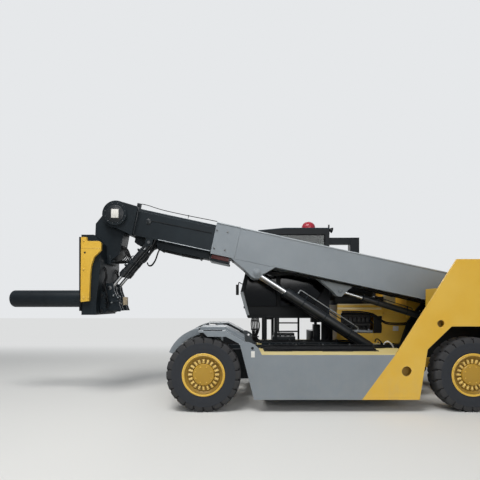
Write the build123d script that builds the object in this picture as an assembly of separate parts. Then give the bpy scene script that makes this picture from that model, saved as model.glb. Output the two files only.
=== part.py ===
from build123d import *
import math
import os

# A heavy telescopic handler with a coil ram: twin frame plates that carry the boom,
# a raised cab and an engine pod on the right, and steered wheels at the rear.
# Lengths are in mm. u runs back from the front axle, y to the right and z up; the
# finished pieces are moved by AXLE_X, so that the origin is under the middle.

# Wheels and axles
WHEELBASE = 4390
TYRE_OD = 1225
TYRE_WIDTH = 320
TREAD_PITCH = 175
TREAD_GROOVE = 24
TREAD_DEPTH = 22
TREAD_GROOVE_LENGTH = 82
RIM_SEAT_R = 305
RIM_FLANGE_R = 349
RIM_WALL = 20
BEAD_HALF_WIDTH = 145
FLANGE_THICK = 12
HUB_R = 171
HUB_REACH = 40
DISC_DEPTH = 38
DISC_THICK = 20
OVERALL_WIDTH = 2800
KINGPIN_IN = 240
KINGPIN_R = 80
KNUCKLE_HALF = 170
AXLE_TUBE_R = 150
YOKE_THICK = 40

# Clearances
RUN_GAP = 0.5
SEAT_GAP = 0.3

# Frame
CORRIDOR_HALF = 345
FRAME_PLATE = 60
FRAME_FRONT_U = -420
FRAME_TOP_Z = 916
FRAME_LOW_Z = 360
AXLE_ARCH_Z = 780
FRAME_REAR_LOW_Z = 760
DECK_THICK = 20
SIDE_PLATE = 30
SIDE_PLATE_INSET = 5
SIDE_PLATE_LOW_Z = 208
REAR_OVERHANG = 1290
DECK_FRONT_U = 953
FENDER_TOP_Z = 1329
FENDER_SHEET = 14
FENDER_RISE = 45
FENDER_STEP_Y = 1060
GUARD_THICK = 12
GUARD_R = 685
GUARD_MID_U = -50
GUARD_TOP_GAP = 0.3
GUARD_WIDTH = 310
GUARD_OUT_Y = 1330
PLATE_HOLE_R = 24
TAIL_LAMP_DEPTH = 45
TAIL_LAMP_Y = (1010, 1250)
TAIL_LAMP_Z = (1240, 1400)
CAB_SIDE_GAP = 25

# Boom
BOOM_PIVOT_BACK = 460
BOOM_PIVOT_Z = 2013
BOOM_ANGLE = 12.2
PIVOT_PIN_R = 80
PIN_HEAD_R = 120
PIN_HEAD = 25
BOOM_FRONT = 4870
BOOM_REAR = -220
BOOM_DEPTH = 600
BOOM_WIDTH = 600
BOOM_WALL = 16
COLLAR_LENGTH = 470
COLLAR_PROUD = 6
INNER_DEPTH = 536
INNER_WIDTH = 530
INNER_WALL = 14
INNER_CHAMFER = 60
INNER_REAR = 560
INNER_FRONT = 6480
PAD_LENGTH = 150
HEAD_S = 6804
HEAD_T = 47
HEAD_R = 261
HEAD_WIDTH = 700
HEAD_RING_R = 221
NECK_HALF = 190
PIN_R = 60
TRAY_DEPTH = 140
TRAY_WIDTH = 300
TRAY_FRONT = 5980
LUG_THICK = 40
LUG_R = 115

# Cylinders: pins in boom measure (s, t) or in frame measure (u, z)
LIFT_PIN = (3919, -478)
LIFT_BASE_AHEAD = 790
LIFT_BASE_Z = 630
LIFT_Y = 195
LIFT_BARREL_R = 90
LIFT_ROD_R = 50
LIFT_BARREL_LENGTH = 2500
LIFT_ROD_LENGTH = 2700
COMP_PIN = (2223, -458)
COMP_BASE_BACK = 10
COMP_BASE_Z = 1470
COMP_BARREL_R = 62
COMP_ROD_R = 34
COMP_BARREL_LENGTH = 1400
COMP_ROD_LENGTH = 1560
TILT_BASE = (6084, -345)
TILT_ROD_PIN = (-129, -1415)
TILT_Y = 190
TILT_PIN_R = 30
LIFT_BASE_PIN_R = 39
COMP_BASE_PIN_R = 34
TILT_BARREL_R = 62
TILT_ROD_R = 34
TILT_BARREL_LENGTH = 830
TILT_ROD_LENGTH = 810
CYLINDER_WALL = 14
EYE_WIDTH = 90

# Carriage and ram
CARRIAGE_HALF_WIDTH = 600
CARRIAGE_PLATE = 60
RAM_LENGTH = 1500
RAM_R = 168
RAM_DROP = 1620
RAM_AHEAD = 660
BACK_AHEAD = 560

# Cab
CAB_IN_Y = 460
CAB_WALL = 50
CAB_TO_REAR_AXLE = 1890
HOOD_GAP = 160
CAB_FLOOR_Z = 1530
CAB_ROOF_Z = 3388
GLASS_THICK = 8
GLASS_DEPTH = 16
DOOR_WIDTH = 1080
DOOR_TO_CAB_REAR = 240
DOOR_LOW_Z = 1620
DOOR_TOP_Z = 3230
DOOR_GAP = 8
DOOR_THICK = 40
BEACON_R = 120
BEACON_HEIGHT = 140
HINGE_OUT = 14
HINGE_R = 12
HINGE_Z = (1850, 2900)
HINGE_LENGTH = 90

# Worked out from the driving sizes
TYRE_R = TYRE_OD / 2
AXLE_Z = TYRE_R
WHEEL_Y = (OVERALL_WIDTH - TYRE_WIDTH) / 2
KINGPIN_Y = WHEEL_Y - KINGPIN_IN
SIDE_OUT_Y = OVERALL_WIDTH / 2 - SIDE_PLATE_INSET
SIDE_IN_Y = SIDE_OUT_Y - SIDE_PLATE
FRAME_OUT_Y = CORRIDOR_HALF + FRAME_PLATE
DECK_Z = FRAME_TOP_Z + DECK_THICK
REAR_END_U = WHEELBASE + REAR_OVERHANG
BOOM_PIVOT_U = WHEELBASE + BOOM_PIVOT_BACK
LIFT_BASE = (WHEELBASE - LIFT_BASE_AHEAD, LIFT_BASE_Z)
COMP_BASE = (WHEELBASE + COMP_BASE_BACK, COMP_BASE_Z)
CAB_OUT_Y = SIDE_IN_Y - CAB_SIDE_GAP
CAB_MID_Y = (CAB_IN_Y + CAB_OUT_Y) / 2
CAB_REAR_U = WHEELBASE - CAB_TO_REAR_AXLE
DOOR_REAR_U = CAB_REAR_U - DOOR_TO_CAB_REAR
DOOR_FRONT_U = DOOR_REAR_U - DOOR_WIDTH
HINGE_U = DOOR_REAR_U + 10
HOOD_FRONT_U = CAB_REAR_U + HOOD_GAP
STAND_FRONT_U = max(DECK_FRONT_U + 157, CAB_REAR_U - 1390)


def block(u0, u1, y0, y1, z0, z1):
    """Box between two values on each axis."""
    return Pos((u0 + u1) / 2, (y0 + y1) / 2, (z0 + z1) / 2) * Box(u1 - u0, y1 - y0, z1 - z0)


def outline(points, y0, y1):
    """Side outline of (u, z) points, made thick from y0 to y1."""
    plane = Plane(origin=(0, y1, 0), x_dir=(1, 0, 0), z_dir=(0, -1, 0))
    return extrude(plane * make_face(Polyline(*points, close=True)), amount=y1 - y0)


def shrunk(points, inset, y0, y1):
    """The same outline drawn in by inset all round."""
    plane = Plane(origin=(0, y1, 0), x_dir=(1, 0, 0), z_dir=(0, -1, 0))
    face = offset(make_face(Polyline(*points, close=True)), amount=-inset, kind=Kind.INTERSECTION)
    return extrude(plane * face, amount=y1 - y0)


def cross_bar(u, z, radius, y0, y1):
    """Round bar along y."""
    return Pos(u, (y0 + y1) / 2, z) * Rot(X=90) * Cylinder(radius, y1 - y0)


def post(u, y, radius, z0, z1):
    """Round upright bar."""
    return Pos(u, y, (z0 + z1) / 2) * Cylinder(radius, z1 - z0)


def bar(start, end, y, radius):
    """Round bar in a side plane between two (u, z) points."""
    path = Line((start[0], y, start[1]), (end[0], y, end[1]))
    return extrude(Plane(origin=path @ 0, z_dir=path % 0) * Circle(radius), amount=path.length)


def both_sides(shape):
    """A left piece with its mirror image on the right."""
    return Compound([*shape.solids(), *mirror(shape, Plane.XZ).solids()])


def along(start, end, distance):
    """Point at a distance from start towards end."""
    length = math.dist(start, end)
    return tuple(a + (b - a) * distance / length for a, b in zip(start, end))


def on_boom(shape):
    """From boom measure, x forward of the pivot being negative, to its place."""
    return Pos(BOOM_PIVOT_U, 0, BOOM_PIVOT_Z) * Rot(Y=BOOM_ANGLE) * shape


def boom_point(s, t):
    """(u, z) of a point s forward of the pivot and t above the boom's axis."""
    angle = math.radians(BOOM_ANGLE)
    u = BOOM_PIVOT_U - s * math.cos(angle) + t * math.sin(angle)
    return u, BOOM_PIVOT_Z + s * math.sin(angle) + t * math.cos(angle)


HEAD = boom_point(HEAD_S, HEAD_T)
LIFT_EYE = boom_point(*LIFT_PIN)
COMP_EYE = boom_point(*COMP_PIN)
TILT_TOP = boom_point(*TILT_BASE)
TILT_EYE = (HEAD[0] + TILT_ROD_PIN[0], HEAD[1] + TILT_ROD_PIN[1])
RAM_Z = HEAD[1] - RAM_DROP
RAM_FACE_U = HEAD[0] - RAM_AHEAD
AXLE_X = -round((REAR_END_U + RAM_FACE_U - RAM_LENGTH) / 2)


def faceted_turn(profile, facets):
    """Shape turned about y in flat facets; the profile's radii are those of the flats."""
    corner = 1 / math.cos(math.pi / facets)
    angles = [math.tau * (index + 0.5) / facets for index in range(facets)]
    rings = [[(r * corner * math.sin(a), y, r * corner * math.cos(a)) for a in angles] for y, r in profile]
    faces = []
    for here, after in zip(rings, rings[1:] + rings[:1]):
        for index in range(facets):
            next_index = (index + 1) % facets
            corners = [here[index], here[next_index], after[next_index], after[index]]
            faces.append(Face(Wire.make_polygon(corners)))
    return Solid(Shell(faces))


def tyre():
    """Tyre about y, two facets to a tread bar, with grooves that run out from both shoulders."""
    half, shoulder = TYRE_WIDTH / 2, TYRE_WIDTH / 2 - 18
    bars = round(math.pi * TYRE_OD / TREAD_PITCH)
    # columns: y, radius
    side = [
        (BEAD_HALF_WIDTH, RIM_SEAT_R + SEAT_GAP),
        (BEAD_HALF_WIDTH, RIM_FLANGE_R + 6),
        (half, TYRE_R * 0.72),
        (shoulder, TYRE_R - TREAD_DEPTH),
        (half - 42, TYRE_R),
    ]
    shape = faceted_turn([(-y, r) for y, r in side] + list(reversed(side)), 2 * bars)
    # columns: y, radius
    groove = [(shoulder - TREAD_GROOVE_LENGTH, TYRE_R), (shoulder, TYRE_R - TREAD_DEPTH),
              (half, TYRE_R - TREAD_DEPTH), (half, TYRE_R + 20), (shoulder - TREAD_GROOVE_LENGTH, TYRE_R + 20)]
    cutter = extrude(Plane.YZ * make_face(Polyline(*groove, close=True)), amount=TREAD_GROOVE / 2, both=True)
    for index in range(2 * bars):
        one = cutter if index % 2 else mirror(cutter, Plane.XZ)
        shape -= Rot(Y=index * 180 / bars) * one
    return shape


def rim():
    """Rim, disc and hub cap in one, its outer side towards -y."""
    edge = BEAD_HALF_WIDTH + SEAT_GAP
    lip = edge + FLANGE_THICK
    disc = DISC_DEPTH - BEAD_HALF_WIDTH
    well = RIM_SEAT_R - RIM_WALL
    # columns: y, radius
    points = [
        (-lip, RIM_FLANGE_R),
        (-edge, RIM_FLANGE_R),
        (-edge, RIM_SEAT_R),
        (edge, RIM_SEAT_R),
        (edge, RIM_FLANGE_R),
        (lip, RIM_FLANGE_R),
        (lip, well),
        (disc + DISC_THICK, well),
        (disc + DISC_THICK, HUB_R - 20),
        (HUB_REACH, HUB_R - 20),
        (HUB_REACH, 0),
        (-lip + 6, 0),
        (-lip + 6, HUB_R - 12),
        (-lip + 18, HUB_R),
        (disc, HUB_R),
        (disc, RIM_SEAT_R - 40),
        (-edge, well + 8),
        (-lip, well + 14),
    ]
    return revolve(Plane.YZ * make_face(Polyline(*points, close=True)), Axis.Y)


def at_wheel(shape, u, left):
    """Moves a wheel piece to its axle end; right ones are mirrored."""
    if left:
        return Pos(u, -WHEEL_Y, AXLE_Z) * shape
    return Pos(u, WHEEL_Y, AXLE_Z) * mirror(shape, Plane.XZ)


SPINDLE_IN_Y = WHEEL_Y - HUB_REACH - RUN_GAP


def front_axle():
    """Drive axle housing with its drop box and the pads under the frame."""
    tube = cross_bar(0, AXLE_Z, AXLE_TUBE_R, -WHEEL_Y + BEAD_HALF_WIDTH, WHEEL_Y - BEAD_HALF_WIDTH)
    spindle = cross_bar(0, AXLE_Z, HUB_R - 50, -SPINDLE_IN_Y, SPINDLE_IN_Y)
    gearbox = Pos(0, 0, AXLE_Z) * Sphere(AXLE_TUBE_R + 80)
    gearbox &= block(-300, 300, -250, 250, 300, AXLE_ARCH_Z + 40)
    nose = Pos(230, 0, AXLE_Z) * Rot(Y=90) * Cylinder(90, 160)
    axle = tube + spindle + gearbox + nose
    for side in (-1, 1):
        mid = side * (CORRIDOR_HALF + FRAME_PLATE / 2)
        axle += block(-130, 130, mid - FRAME_PLATE / 2, mid + FRAME_PLATE / 2, AXLE_Z, AXLE_ARCH_Z)
    return axle


def rear_axle():
    """Steer axle beam with a yoke at each end and the saddle under the frame."""
    yoke_z = KNUCKLE_HALF + RUN_GAP
    reach = KINGPIN_Y - KINGPIN_R - 20
    beam = block(WHEELBASE - 95, WHEELBASE + 95, -reach, reach, AXLE_Z - 95, AXLE_Z + 95)
    for side in (-1, 1):
        root = side * (reach - 120)
        low, high = sorted((root, side * reach))
        beam += block(WHEELBASE - 85, WHEELBASE + 85, low, high,
                      AXLE_Z - yoke_z - YOKE_THICK, AXLE_Z + yoke_z + YOKE_THICK)
        for base in (AXLE_Z + yoke_z, AXLE_Z - yoke_z - YOKE_THICK):
            low, high = sorted((side * (reach - 20), side * KINGPIN_Y))
            beam += block(WHEELBASE - 85, WHEELBASE + 85, low, high, base, base + YOKE_THICK)
            beam += post(WHEELBASE, side * KINGPIN_Y, 85, base, base + YOKE_THICK)
        mid = side * (CORRIDOR_HALF + FRAME_PLATE / 2)
        beam += block(WHEELBASE - 140, WHEELBASE + 140, mid - FRAME_PLATE / 2, mid + FRAME_PLATE / 2,
                      AXLE_Z, FRAME_REAR_LOW_Z)
    return beam


def knuckle():
    """Steering knuckle of the left wheel: kingpin barrel, spindle and steering arm."""
    barrel = post(WHEELBASE, -KINGPIN_Y, KINGPIN_R, AXLE_Z - KNUCKLE_HALF, AXLE_Z + KNUCKLE_HALF)
    spindle = cross_bar(WHEELBASE, AXLE_Z, 70, -SPINDLE_IN_Y, -KINGPIN_Y)
    flange = cross_bar(WHEELBASE, AXLE_Z, 130, -KINGPIN_Y - 150, -KINGPIN_Y - 120)
    arm = block(WHEELBASE - 30, WHEELBASE + 230, -KINGPIN_Y - 25, -KINGPIN_Y + 25,
                AXLE_Z - 60, AXLE_Z - 20)
    return barrel + spindle + flange + arm


def frame():
    """Two frame plates that rise to the boom pivot, with cross members between them."""
    u, z = BOOM_PIVOT_U, BOOM_PIVOT_Z
    rear = WHEELBASE
    # columns: u, z
    points = [
        (FRAME_FRONT_U, AXLE_ARCH_Z), (420, AXLE_ARCH_Z), (550, FRAME_LOW_Z), (rear - 440, FRAME_LOW_Z),
        (rear - 330, FRAME_REAR_LOW_Z), (rear + 780, FRAME_REAR_LOW_Z), (rear + 780, 1550),
        (u + 215, z + 40), (u + 110, z + 195), (u - 110, z + 195), (u - 235, z + 60), (rear - 270, 1400),
        (rear - 430, FRAME_TOP_Z), (FRAME_FRONT_U, FRAME_TOP_Z),
    ]
    plates = outline(points, -FRAME_OUT_Y, -CORRIDOR_HALF)
    plates += mirror(plates, Plane.XZ)
    # cross members, columns: u0, u1, z0, z1
    for u0, u1, z0, z1 in (
        (FRAME_FRONT_U, -230, AXLE_ARCH_Z, FRAME_TOP_Z),
        (600, 800, FRAME_LOW_Z, 560),
        (rear / 2 - 295, rear / 2 - 95, FRAME_LOW_Z, 480),
        (rear - 670, rear - 440, FRAME_LOW_Z, 800),
        (rear + 140, rear + 330, 1250, 1590),
        (rear + 610, rear + 780, FRAME_REAR_LOW_Z, 1500),
    ):
        plates += block(u0, u1, -CORRIDOR_HALF, CORRIDOR_HALF, z0, z1)
    for side in (-1, 1):
        for edge in (-EYE_WIDTH / 2 - 32, EYE_WIDTH / 2 + 2):
            y0 = side * LIFT_Y + edge
            plates += clevis_ear(LIFT_BASE, y0, y0 + 30, 95, rear - 650)
    for y0 in (-EYE_WIDTH / 2 - 32, EYE_WIDTH / 2 + 2):
        plates += clevis_ear(COMP_BASE, y0, y0 + 30, 80, rear + 170)
    return plates


def clevis_ear(pin, y0, y1, radius, back_u):
    """Ear with a round nose about a pin, running back to a cross member."""
    u, z = pin
    ear = cross_bar(u, z, radius, y0, y1)
    return ear + block(u, back_u, y0, y1, z - radius, z + radius)


def frame_pins():
    """Pins of the cylinder bases, through their ears."""
    outer = LIFT_Y + EYE_WIDTH / 2 + 32
    pins = [cross_bar(*LIFT_BASE, LIFT_BASE_PIN_R, -outer - 10, -LIFT_Y + EYE_WIDTH / 2 + 42)]
    pins.append(mirror(pins[0], Plane.XZ))
    pins.append(cross_bar(*COMP_BASE, COMP_BASE_PIN_R, -EYE_WIDTH / 2 - 42, EYE_WIDTH / 2 + 42))
    return Compound([pin.solid() for pin in pins])


def side_plate():
    """Left side plate: low between the wheels, then rising as the mast wing."""
    rear, end = WHEELBASE, REAR_END_U
    # columns: u, z
    points = [
        (823, SIDE_PLATE_LOW_Z), (rear - 870, SIDE_PLATE_LOW_Z), (rear - 740, 1029), (rear - 350, 1403),
        (rear + 350, 1403), (rear + 710, 1060), (rear + 770, 500), (end - 20, 500), (end, 1600),
        (rear + 910, 2300), (rear + 560, 2500), (rear - 267, 2500), (rear - 1264, DECK_Z),
        (DECK_FRONT_U, DECK_Z), (905, 1037), (840, 1102), (758, 1143), (677, 1151), (596, 1102),
        (710, 663),
    ]
    plate = outline(points, -SIDE_OUT_Y, -SIDE_IN_Y)
    plate -= cross_bar(rear - 1081, 671, 81, -SIDE_OUT_Y - 1, -SIDE_IN_Y + 1)
    plate -= cross_bar(rear - 525, 1448, 58, -SIDE_OUT_Y - 1, -SIDE_IN_Y + 1)
    plate -= cross_bar(DECK_FRONT_U - 154, 1045, PLATE_HOLE_R, -SIDE_OUT_Y - 1, -SIDE_IN_Y + 1)
    return plate


def deck():
    """Floor plates on both sides of the boom's corridor, over the side tanks."""
    left = block(DECK_FRONT_U, WHEELBASE - 830, -SIDE_IN_Y, -FRAME_OUT_Y, FRAME_TOP_Z, DECK_Z)
    return both_sides(left)


def side_tanks():
    """Closed tanks hung under the deck."""
    front, rear = DECK_FRONT_U + 27, WHEELBASE - 1200
    left = block(front, rear, -SIDE_IN_Y, -FRAME_OUT_Y - 260, 270, FRAME_TOP_Z)
    hanger = block(front + 220, rear - 190, -FRAME_OUT_Y - 260, -FRAME_OUT_Y, 700, FRAME_TOP_Z)
    return both_sides(left + hanger)


# columns: u, distance below the fender's top
FENDER_TOP = [(-86, 0), (352, 0), (677, 178)]


def fender_sheet(rise, y0, y1):
    """Bent sheet that follows the fender's top, raised by rise."""
    top = [(u, FENDER_TOP_Z + rise - below) for u, below in FENDER_TOP]
    under = [(u, z - FENDER_SHEET) for u, z in reversed(top)]
    return outline(top + under, y0, y1)


def fender():
    """Left front fender: a skirt over the tyre, an outer sheet and a raised inner one."""
    # columns: u, z
    under = [(596, 1102), (580, 1124), (368, 1235), (67, 1235), (2, FENDER_TOP_Z - 29), (-86, FENDER_TOP_Z - 29)]
    skirt = outline([(u, FENDER_TOP_Z - below) for u, below in FENDER_TOP] + under, -SIDE_OUT_Y, -SIDE_IN_Y)
    outer = fender_sheet(0, -SIDE_IN_Y, -FENDER_STEP_Y)
    inner = fender_sheet(FENDER_RISE, -FENDER_STEP_Y, -FRAME_OUT_Y)
    low = [(u, FENDER_TOP_Z - below - FENDER_SHEET) for u, below in FENDER_TOP]
    high = [(u, FENDER_TOP_Z + FENDER_RISE - below) for u, below in reversed(FENDER_TOP)]
    riser = outline(low + high, -FENDER_STEP_Y, -FENDER_STEP_Y + FENDER_SHEET)
    leg = block(120, 240, -FRAME_OUT_Y - 20, -FRAME_OUT_Y, 800, FENDER_TOP_Z + FENDER_RISE - FENDER_SHEET)
    return skirt + outer + inner + riser + leg


def mudguard():
    """Left mudguard: a curved sheet that hangs from the fender's outer sheet, ahead of the tyre's top."""
    mid_z = FENDER_TOP_Z - FENDER_SHEET - GUARD_TOP_GAP - GUARD_R
    y0, y1 = -GUARD_OUT_Y, -GUARD_OUT_Y + GUARD_WIDTH
    guard = cross_bar(GUARD_MID_U, mid_z, GUARD_R, y0, y1)
    guard -= cross_bar(GUARD_MID_U, mid_z, GUARD_R - GUARD_THICK, y0 - 1, y1 + 1)
    reach = 2 * GUARD_R
    # degrees ahead of the top that the sheet covers, as a wedge about its middle
    wedge = [(GUARD_MID_U, mid_z)]
    for degrees in (-5, 20, 48):
        turn = math.radians(degrees)
        wedge.append((GUARD_MID_U - reach * math.sin(turn), mid_z + reach * math.cos(turn)))
    return guard & outline(wedge, y0, y1)


def counterweight_outline():
    """Side outline of the rear weight."""
    front, end = WHEELBASE + 785, REAR_END_U
    return [(front, 500), (end - 30, 500), (end - 10, 1590), (front + 245, 2050), (front, 2050)]


def counterweight():
    """Rear weight between the side plates, with pockets for the tail lamps."""
    front = WHEELBASE + 785
    weight = outline(counterweight_outline(), -SIDE_IN_Y, SIDE_IN_Y)
    weight -= block(front - 75, front + 265, -CORRIDOR_HALF, CORRIDOR_HALF, 1560, 2100)
    for side in (-1, 1):
        weight -= tail_lamp_box(side, 0)
    return weight


def tail_lamp_box(side, gap):
    """Room for one tail lamp, drawn in by gap."""
    low, high = sorted(side * (y + sign * gap) for y, sign in zip(TAIL_LAMP_Y, (1, -1)))
    return block(REAR_END_U - 10 - TAIL_LAMP_DEPTH + gap, REAR_END_U + 50, low, high,
                 TAIL_LAMP_Z[0] + gap, TAIL_LAMP_Z[1] - gap)


def tail_lamps():
    """Tail lamps let into the rear weight, flush with its face."""
    body = outline(counterweight_outline(), -SIDE_IN_Y, SIDE_IN_Y)
    return Compound([(body & tail_lamp_box(side, SEAT_GAP)).solid() for side in (-1, 1)])


def rear_box(left):
    """Tank or radiator box over a rear wheel, between frame plate and side plate."""
    shape = block(WHEELBASE - 280, WHEELBASE + 780, -SIDE_IN_Y, -FRAME_OUT_Y, 1425, 2050)
    shape -= cross_bar(BOOM_PIVOT_U, BOOM_PIVOT_Z, PIN_HEAD_R + 10, -FRAME_OUT_Y - PIN_HEAD - 5, -FRAME_OUT_Y)
    return shape if left else mirror(shape, Plane.XZ)


def engine_hood():
    """Engine pod on the right: a shell with an open side towards the boom."""
    # columns: u, z
    front, rear = HOOD_FRONT_U, WHEELBASE
    points = [(front, DECK_Z), (rear - 890, DECK_Z), (rear - 770, 1030), (rear - 370, 1425),
              (rear - 290, 1425), (rear - 290, 1760), (front, 1760)]
    shell = outline(points, CAB_IN_Y, SIDE_IN_Y)
    shell -= shrunk(points, 30, CAB_IN_Y + 30, SIDE_IN_Y - 30)
    shell -= block(front + 80, rear - 950, CAB_IN_Y - 1, CAB_IN_Y + 31, 1000, 1580)
    for index in range(5):
        z = 1060 + index * 110
        shell -= block(front + 140, rear - 950, SIDE_IN_Y - 31, SIDE_IN_Y + 1, z, z + 60)
    return shell


def engine_block():
    """The engine as one plain block, on two feet inside the pod."""
    front, rear, mid = HOOD_FRONT_U + 140, WHEELBASE - 970, CAB_MID_Y
    engine = block(front, rear, mid - 280, mid + 280, 1010, 1560)
    for u in (front + 60, rear - 140):
        engine += block(u, u + 80, mid - 200, mid + 200, DECK_Z + 30, 1010)
    return engine


# columns: distance ahead of the cab's rear wall, z
CAB_OUTLINE = [(1755, CAB_FLOOR_Z), (1893, 2026), (1798, 2409), (1521, 3335), (946, CAB_ROOF_Z),
               (0, CAB_ROOF_Z), (0, CAB_FLOOR_Z)]
CAB_SIDE = [(CAB_REAR_U - ahead, z) for ahead, z in CAB_OUTLINE]


def cab_window_boxes(gap):
    """Front, rear and roof window boxes through the shell, drawn in by gap."""
    y0, y1 = CAB_IN_Y + 80 + gap, CAB_OUT_Y - 80 - gap
    return [
        block(CAB_REAR_U - 2000, CAB_REAR_U - 1400, y0, y1, 1640 + gap, 3200 - gap),
        block(CAB_REAR_U - 100, CAB_REAR_U + 50, y0, y1, 2150 + gap, 3200 - gap),
        block(CAB_REAR_U - 1150 + gap, CAB_REAR_U - 400 - gap, y0, y1, CAB_ROOF_Z - 120, CAB_ROOF_Z + 50),
    ]


# columns: distance ahead of the cab's rear wall, z
SIDE_PANES = (
    [(1740, 1720), (1810, 2030), (1720, 2400), (1460, 3240), (1120, 3250), (1120, 1720)],
    [(1050, 1720), (1050, 3250), (100, 3250), (100, 2100), (350, 1720)],
)
SIDE_WINDOWS = [[(CAB_REAR_U - ahead, z) for ahead, z in pane] for pane in SIDE_PANES]


def cab_shell():
    """Cab: hollow welded shell with its window and door openings."""
    shell = outline(CAB_SIDE, CAB_IN_Y, CAB_OUT_Y)
    shell -= shrunk(CAB_SIDE, CAB_WALL, CAB_IN_Y + CAB_WALL, CAB_OUT_Y - CAB_WALL)
    for box in cab_window_boxes(0):
        shell -= box
    for window in SIDE_WINDOWS:
        shell -= outline(window, CAB_IN_Y - 1, CAB_IN_Y + CAB_WALL + 1)
    shell -= block(DOOR_FRONT_U, DOOR_REAR_U, CAB_OUT_Y - CAB_WALL - 1, CAB_OUT_Y + 1,
                   DOOR_LOW_Z, DOOR_TOP_Z)
    for piece in hinge_knuckles():
        shell += piece
    return shell


def hinge_knuckles():
    """Fixed knuckles of the door hinge, above and below each moving one."""
    knuckles = []
    for z in HINGE_Z:
        for z0 in (z - 30 - RUN_GAP, z + HINGE_LENGTH + RUN_GAP):
            knuckle_part = post(HINGE_U, CAB_OUT_Y + HINGE_OUT, HINGE_R, z0, z0 + 30)
            knuckles.append(knuckle_part + block(HINGE_U - 2, HINGE_U + 30, CAB_OUT_Y, CAB_OUT_Y + HINGE_OUT, z0, z0 + 30))
    return knuckles


def cab_glass():
    """Panes set in the shell's openings."""
    pane = shrunk(CAB_SIDE, GLASS_DEPTH, CAB_IN_Y + CAB_WALL, CAB_OUT_Y - CAB_WALL)
    pane -= shrunk(CAB_SIDE, GLASS_DEPTH + GLASS_THICK, CAB_IN_Y, CAB_OUT_Y)
    panes = []
    for box in cab_window_boxes(SEAT_GAP):
        panes += (pane & box).solids()
    y0 = CAB_IN_Y + GLASS_DEPTH
    for window in SIDE_WINDOWS:
        panes += shrunk(window, SEAT_GAP, y0, y0 + GLASS_THICK).solids()
    return Compound(panes)


def cab_door():
    """Door in the right wall, hinged at its rear edge."""
    y1 = CAB_OUT_Y
    y0 = y1 - DOOR_THICK
    door = block(DOOR_FRONT_U + DOOR_GAP, DOOR_REAR_U - DOOR_GAP, y0, y1,
                 DOOR_LOW_Z + DOOR_GAP, DOOR_TOP_Z - DOOR_GAP)
    door -= door_window(0, y0 - 1, y1 + 1)
    for z in HINGE_Z:
        door += post(HINGE_U, y1 + HINGE_OUT, HINGE_R, z, z + HINGE_LENGTH)
        door += block(DOOR_REAR_U - 70, DOOR_REAR_U - DOOR_GAP, y1, y1 + HINGE_OUT + 6, z + 10, z + HINGE_LENGTH - 10)
        door += block(DOOR_REAR_U - 70, HINGE_U, y1 + 1, y1 + HINGE_OUT + 6, z + 10, z + HINGE_LENGTH - 10)
    return door


def door_window(gap, y0, y1):
    return block(DOOR_FRONT_U + 90 + gap, DOOR_REAR_U - 90 - gap, y0, y1,
                 DOOR_LOW_Z + 150 + gap, DOOR_TOP_Z - 90 - gap)


def door_glass():
    y1 = CAB_OUT_Y - GLASS_DEPTH
    return door_window(SEAT_GAP, y1 - GLASS_THICK, y1)


def cab_stand():
    """Posts and rails that lift the cab above the deck, with the steps on the right."""
    front, rear, low = STAND_FRONT_U, CAB_REAR_U, CAB_FLOOR_Z - 60
    stand = block(rear - 1740, rear - 20, CAB_IN_Y + 20, CAB_IN_Y + 90, low, CAB_FLOOR_Z)
    stand += block(rear - 1740, rear - 20, CAB_OUT_Y - 90, CAB_OUT_Y - 20, low, CAB_FLOOR_Z)
    stand += block(front - 10, front + 70, CAB_IN_Y + 20, CAB_OUT_Y - 20, low, CAB_FLOOR_Z)
    stand += block(rear - 170, rear - 90, CAB_IN_Y + 20, CAB_OUT_Y - 20, low, CAB_FLOOR_Z)
    for u in (front, front + 220, rear - 160):
        for y in (CAB_IN_Y + 25, CAB_OUT_Y - 85):
            stand += block(u, u + 60, y, y + 60, DECK_Z, CAB_FLOOR_Z - 59)
    return stand


def cab_step():
    """Ladder outboard of the cab, from the side plate's top to the door sill."""
    y0, y1 = CAB_OUT_Y - 20, SIDE_IN_Y + 15
    front, rear = CAB_REAR_U - 1020, CAB_REAR_U - 500
    step = block(front, front + 40, y0, y1, DECK_Z, CAB_FLOOR_Z)
    step += block(rear - 40, rear, y0, y1, DECK_Z, CAB_FLOOR_Z)
    for z in (1110, 1310, 1500):
        step += block(front, rear, y0, y1, z, z + 30)
    return step


def seat():
    """Driver's seat on its box, as one plain solid."""
    rear, mid = CAB_REAR_U, CAB_MID_Y
    shape = block(rear - 850, rear - 450, mid - 200, mid + 200, CAB_FLOOR_Z + CAB_WALL, 1900)
    shape += block(rear - 940, rear - 400, mid - 250, mid + 250, 1900, 2040)
    back = [(rear - 500, 2040), (rear - 380, 2040), (rear - 240, 2760), (rear - 360, 2760)]
    shape += outline(back, mid - 240, mid + 240)
    return shape


def console():
    """Steering column with its wheel and the foot console."""
    u, mid, floor = CAB_REAR_U - 1350, CAB_MID_Y, CAB_FLOOR_Z + CAB_WALL
    shape = outline([(u - 290, floor), (u, floor), (u - 100, 1800), (u + 30, 2180), (u - 40, 2200),
                     (u - 250, 1800)], mid - 80, mid + 80)
    wheel = Pos(u, mid, 2205) * Rot(Y=18) * (Cylinder(200, 26) - Cylinder(170, 27))
    wheel += Pos(u, mid, 2205) * Rot(Y=18) * (Box(24, 360, 18) + Box(360, 24, 18) + Cylinder(45, 40))
    return shape + wheel


def beacon():
    """Domed lamp on the cab roof."""
    dome = Pos(0, 0, BEACON_HEIGHT - BEACON_R) * Sphere(BEACON_R) + Cylinder(BEACON_R - 8, 40)
    dome &= Pos(0, 0, BEACON_HEIGHT / 2) * Box(4 * BEACON_R, 4 * BEACON_R, BEACON_HEIGHT)
    return Pos(CAB_REAR_U - 370, CAB_MID_Y, CAB_ROOF_Z) * dome


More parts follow.
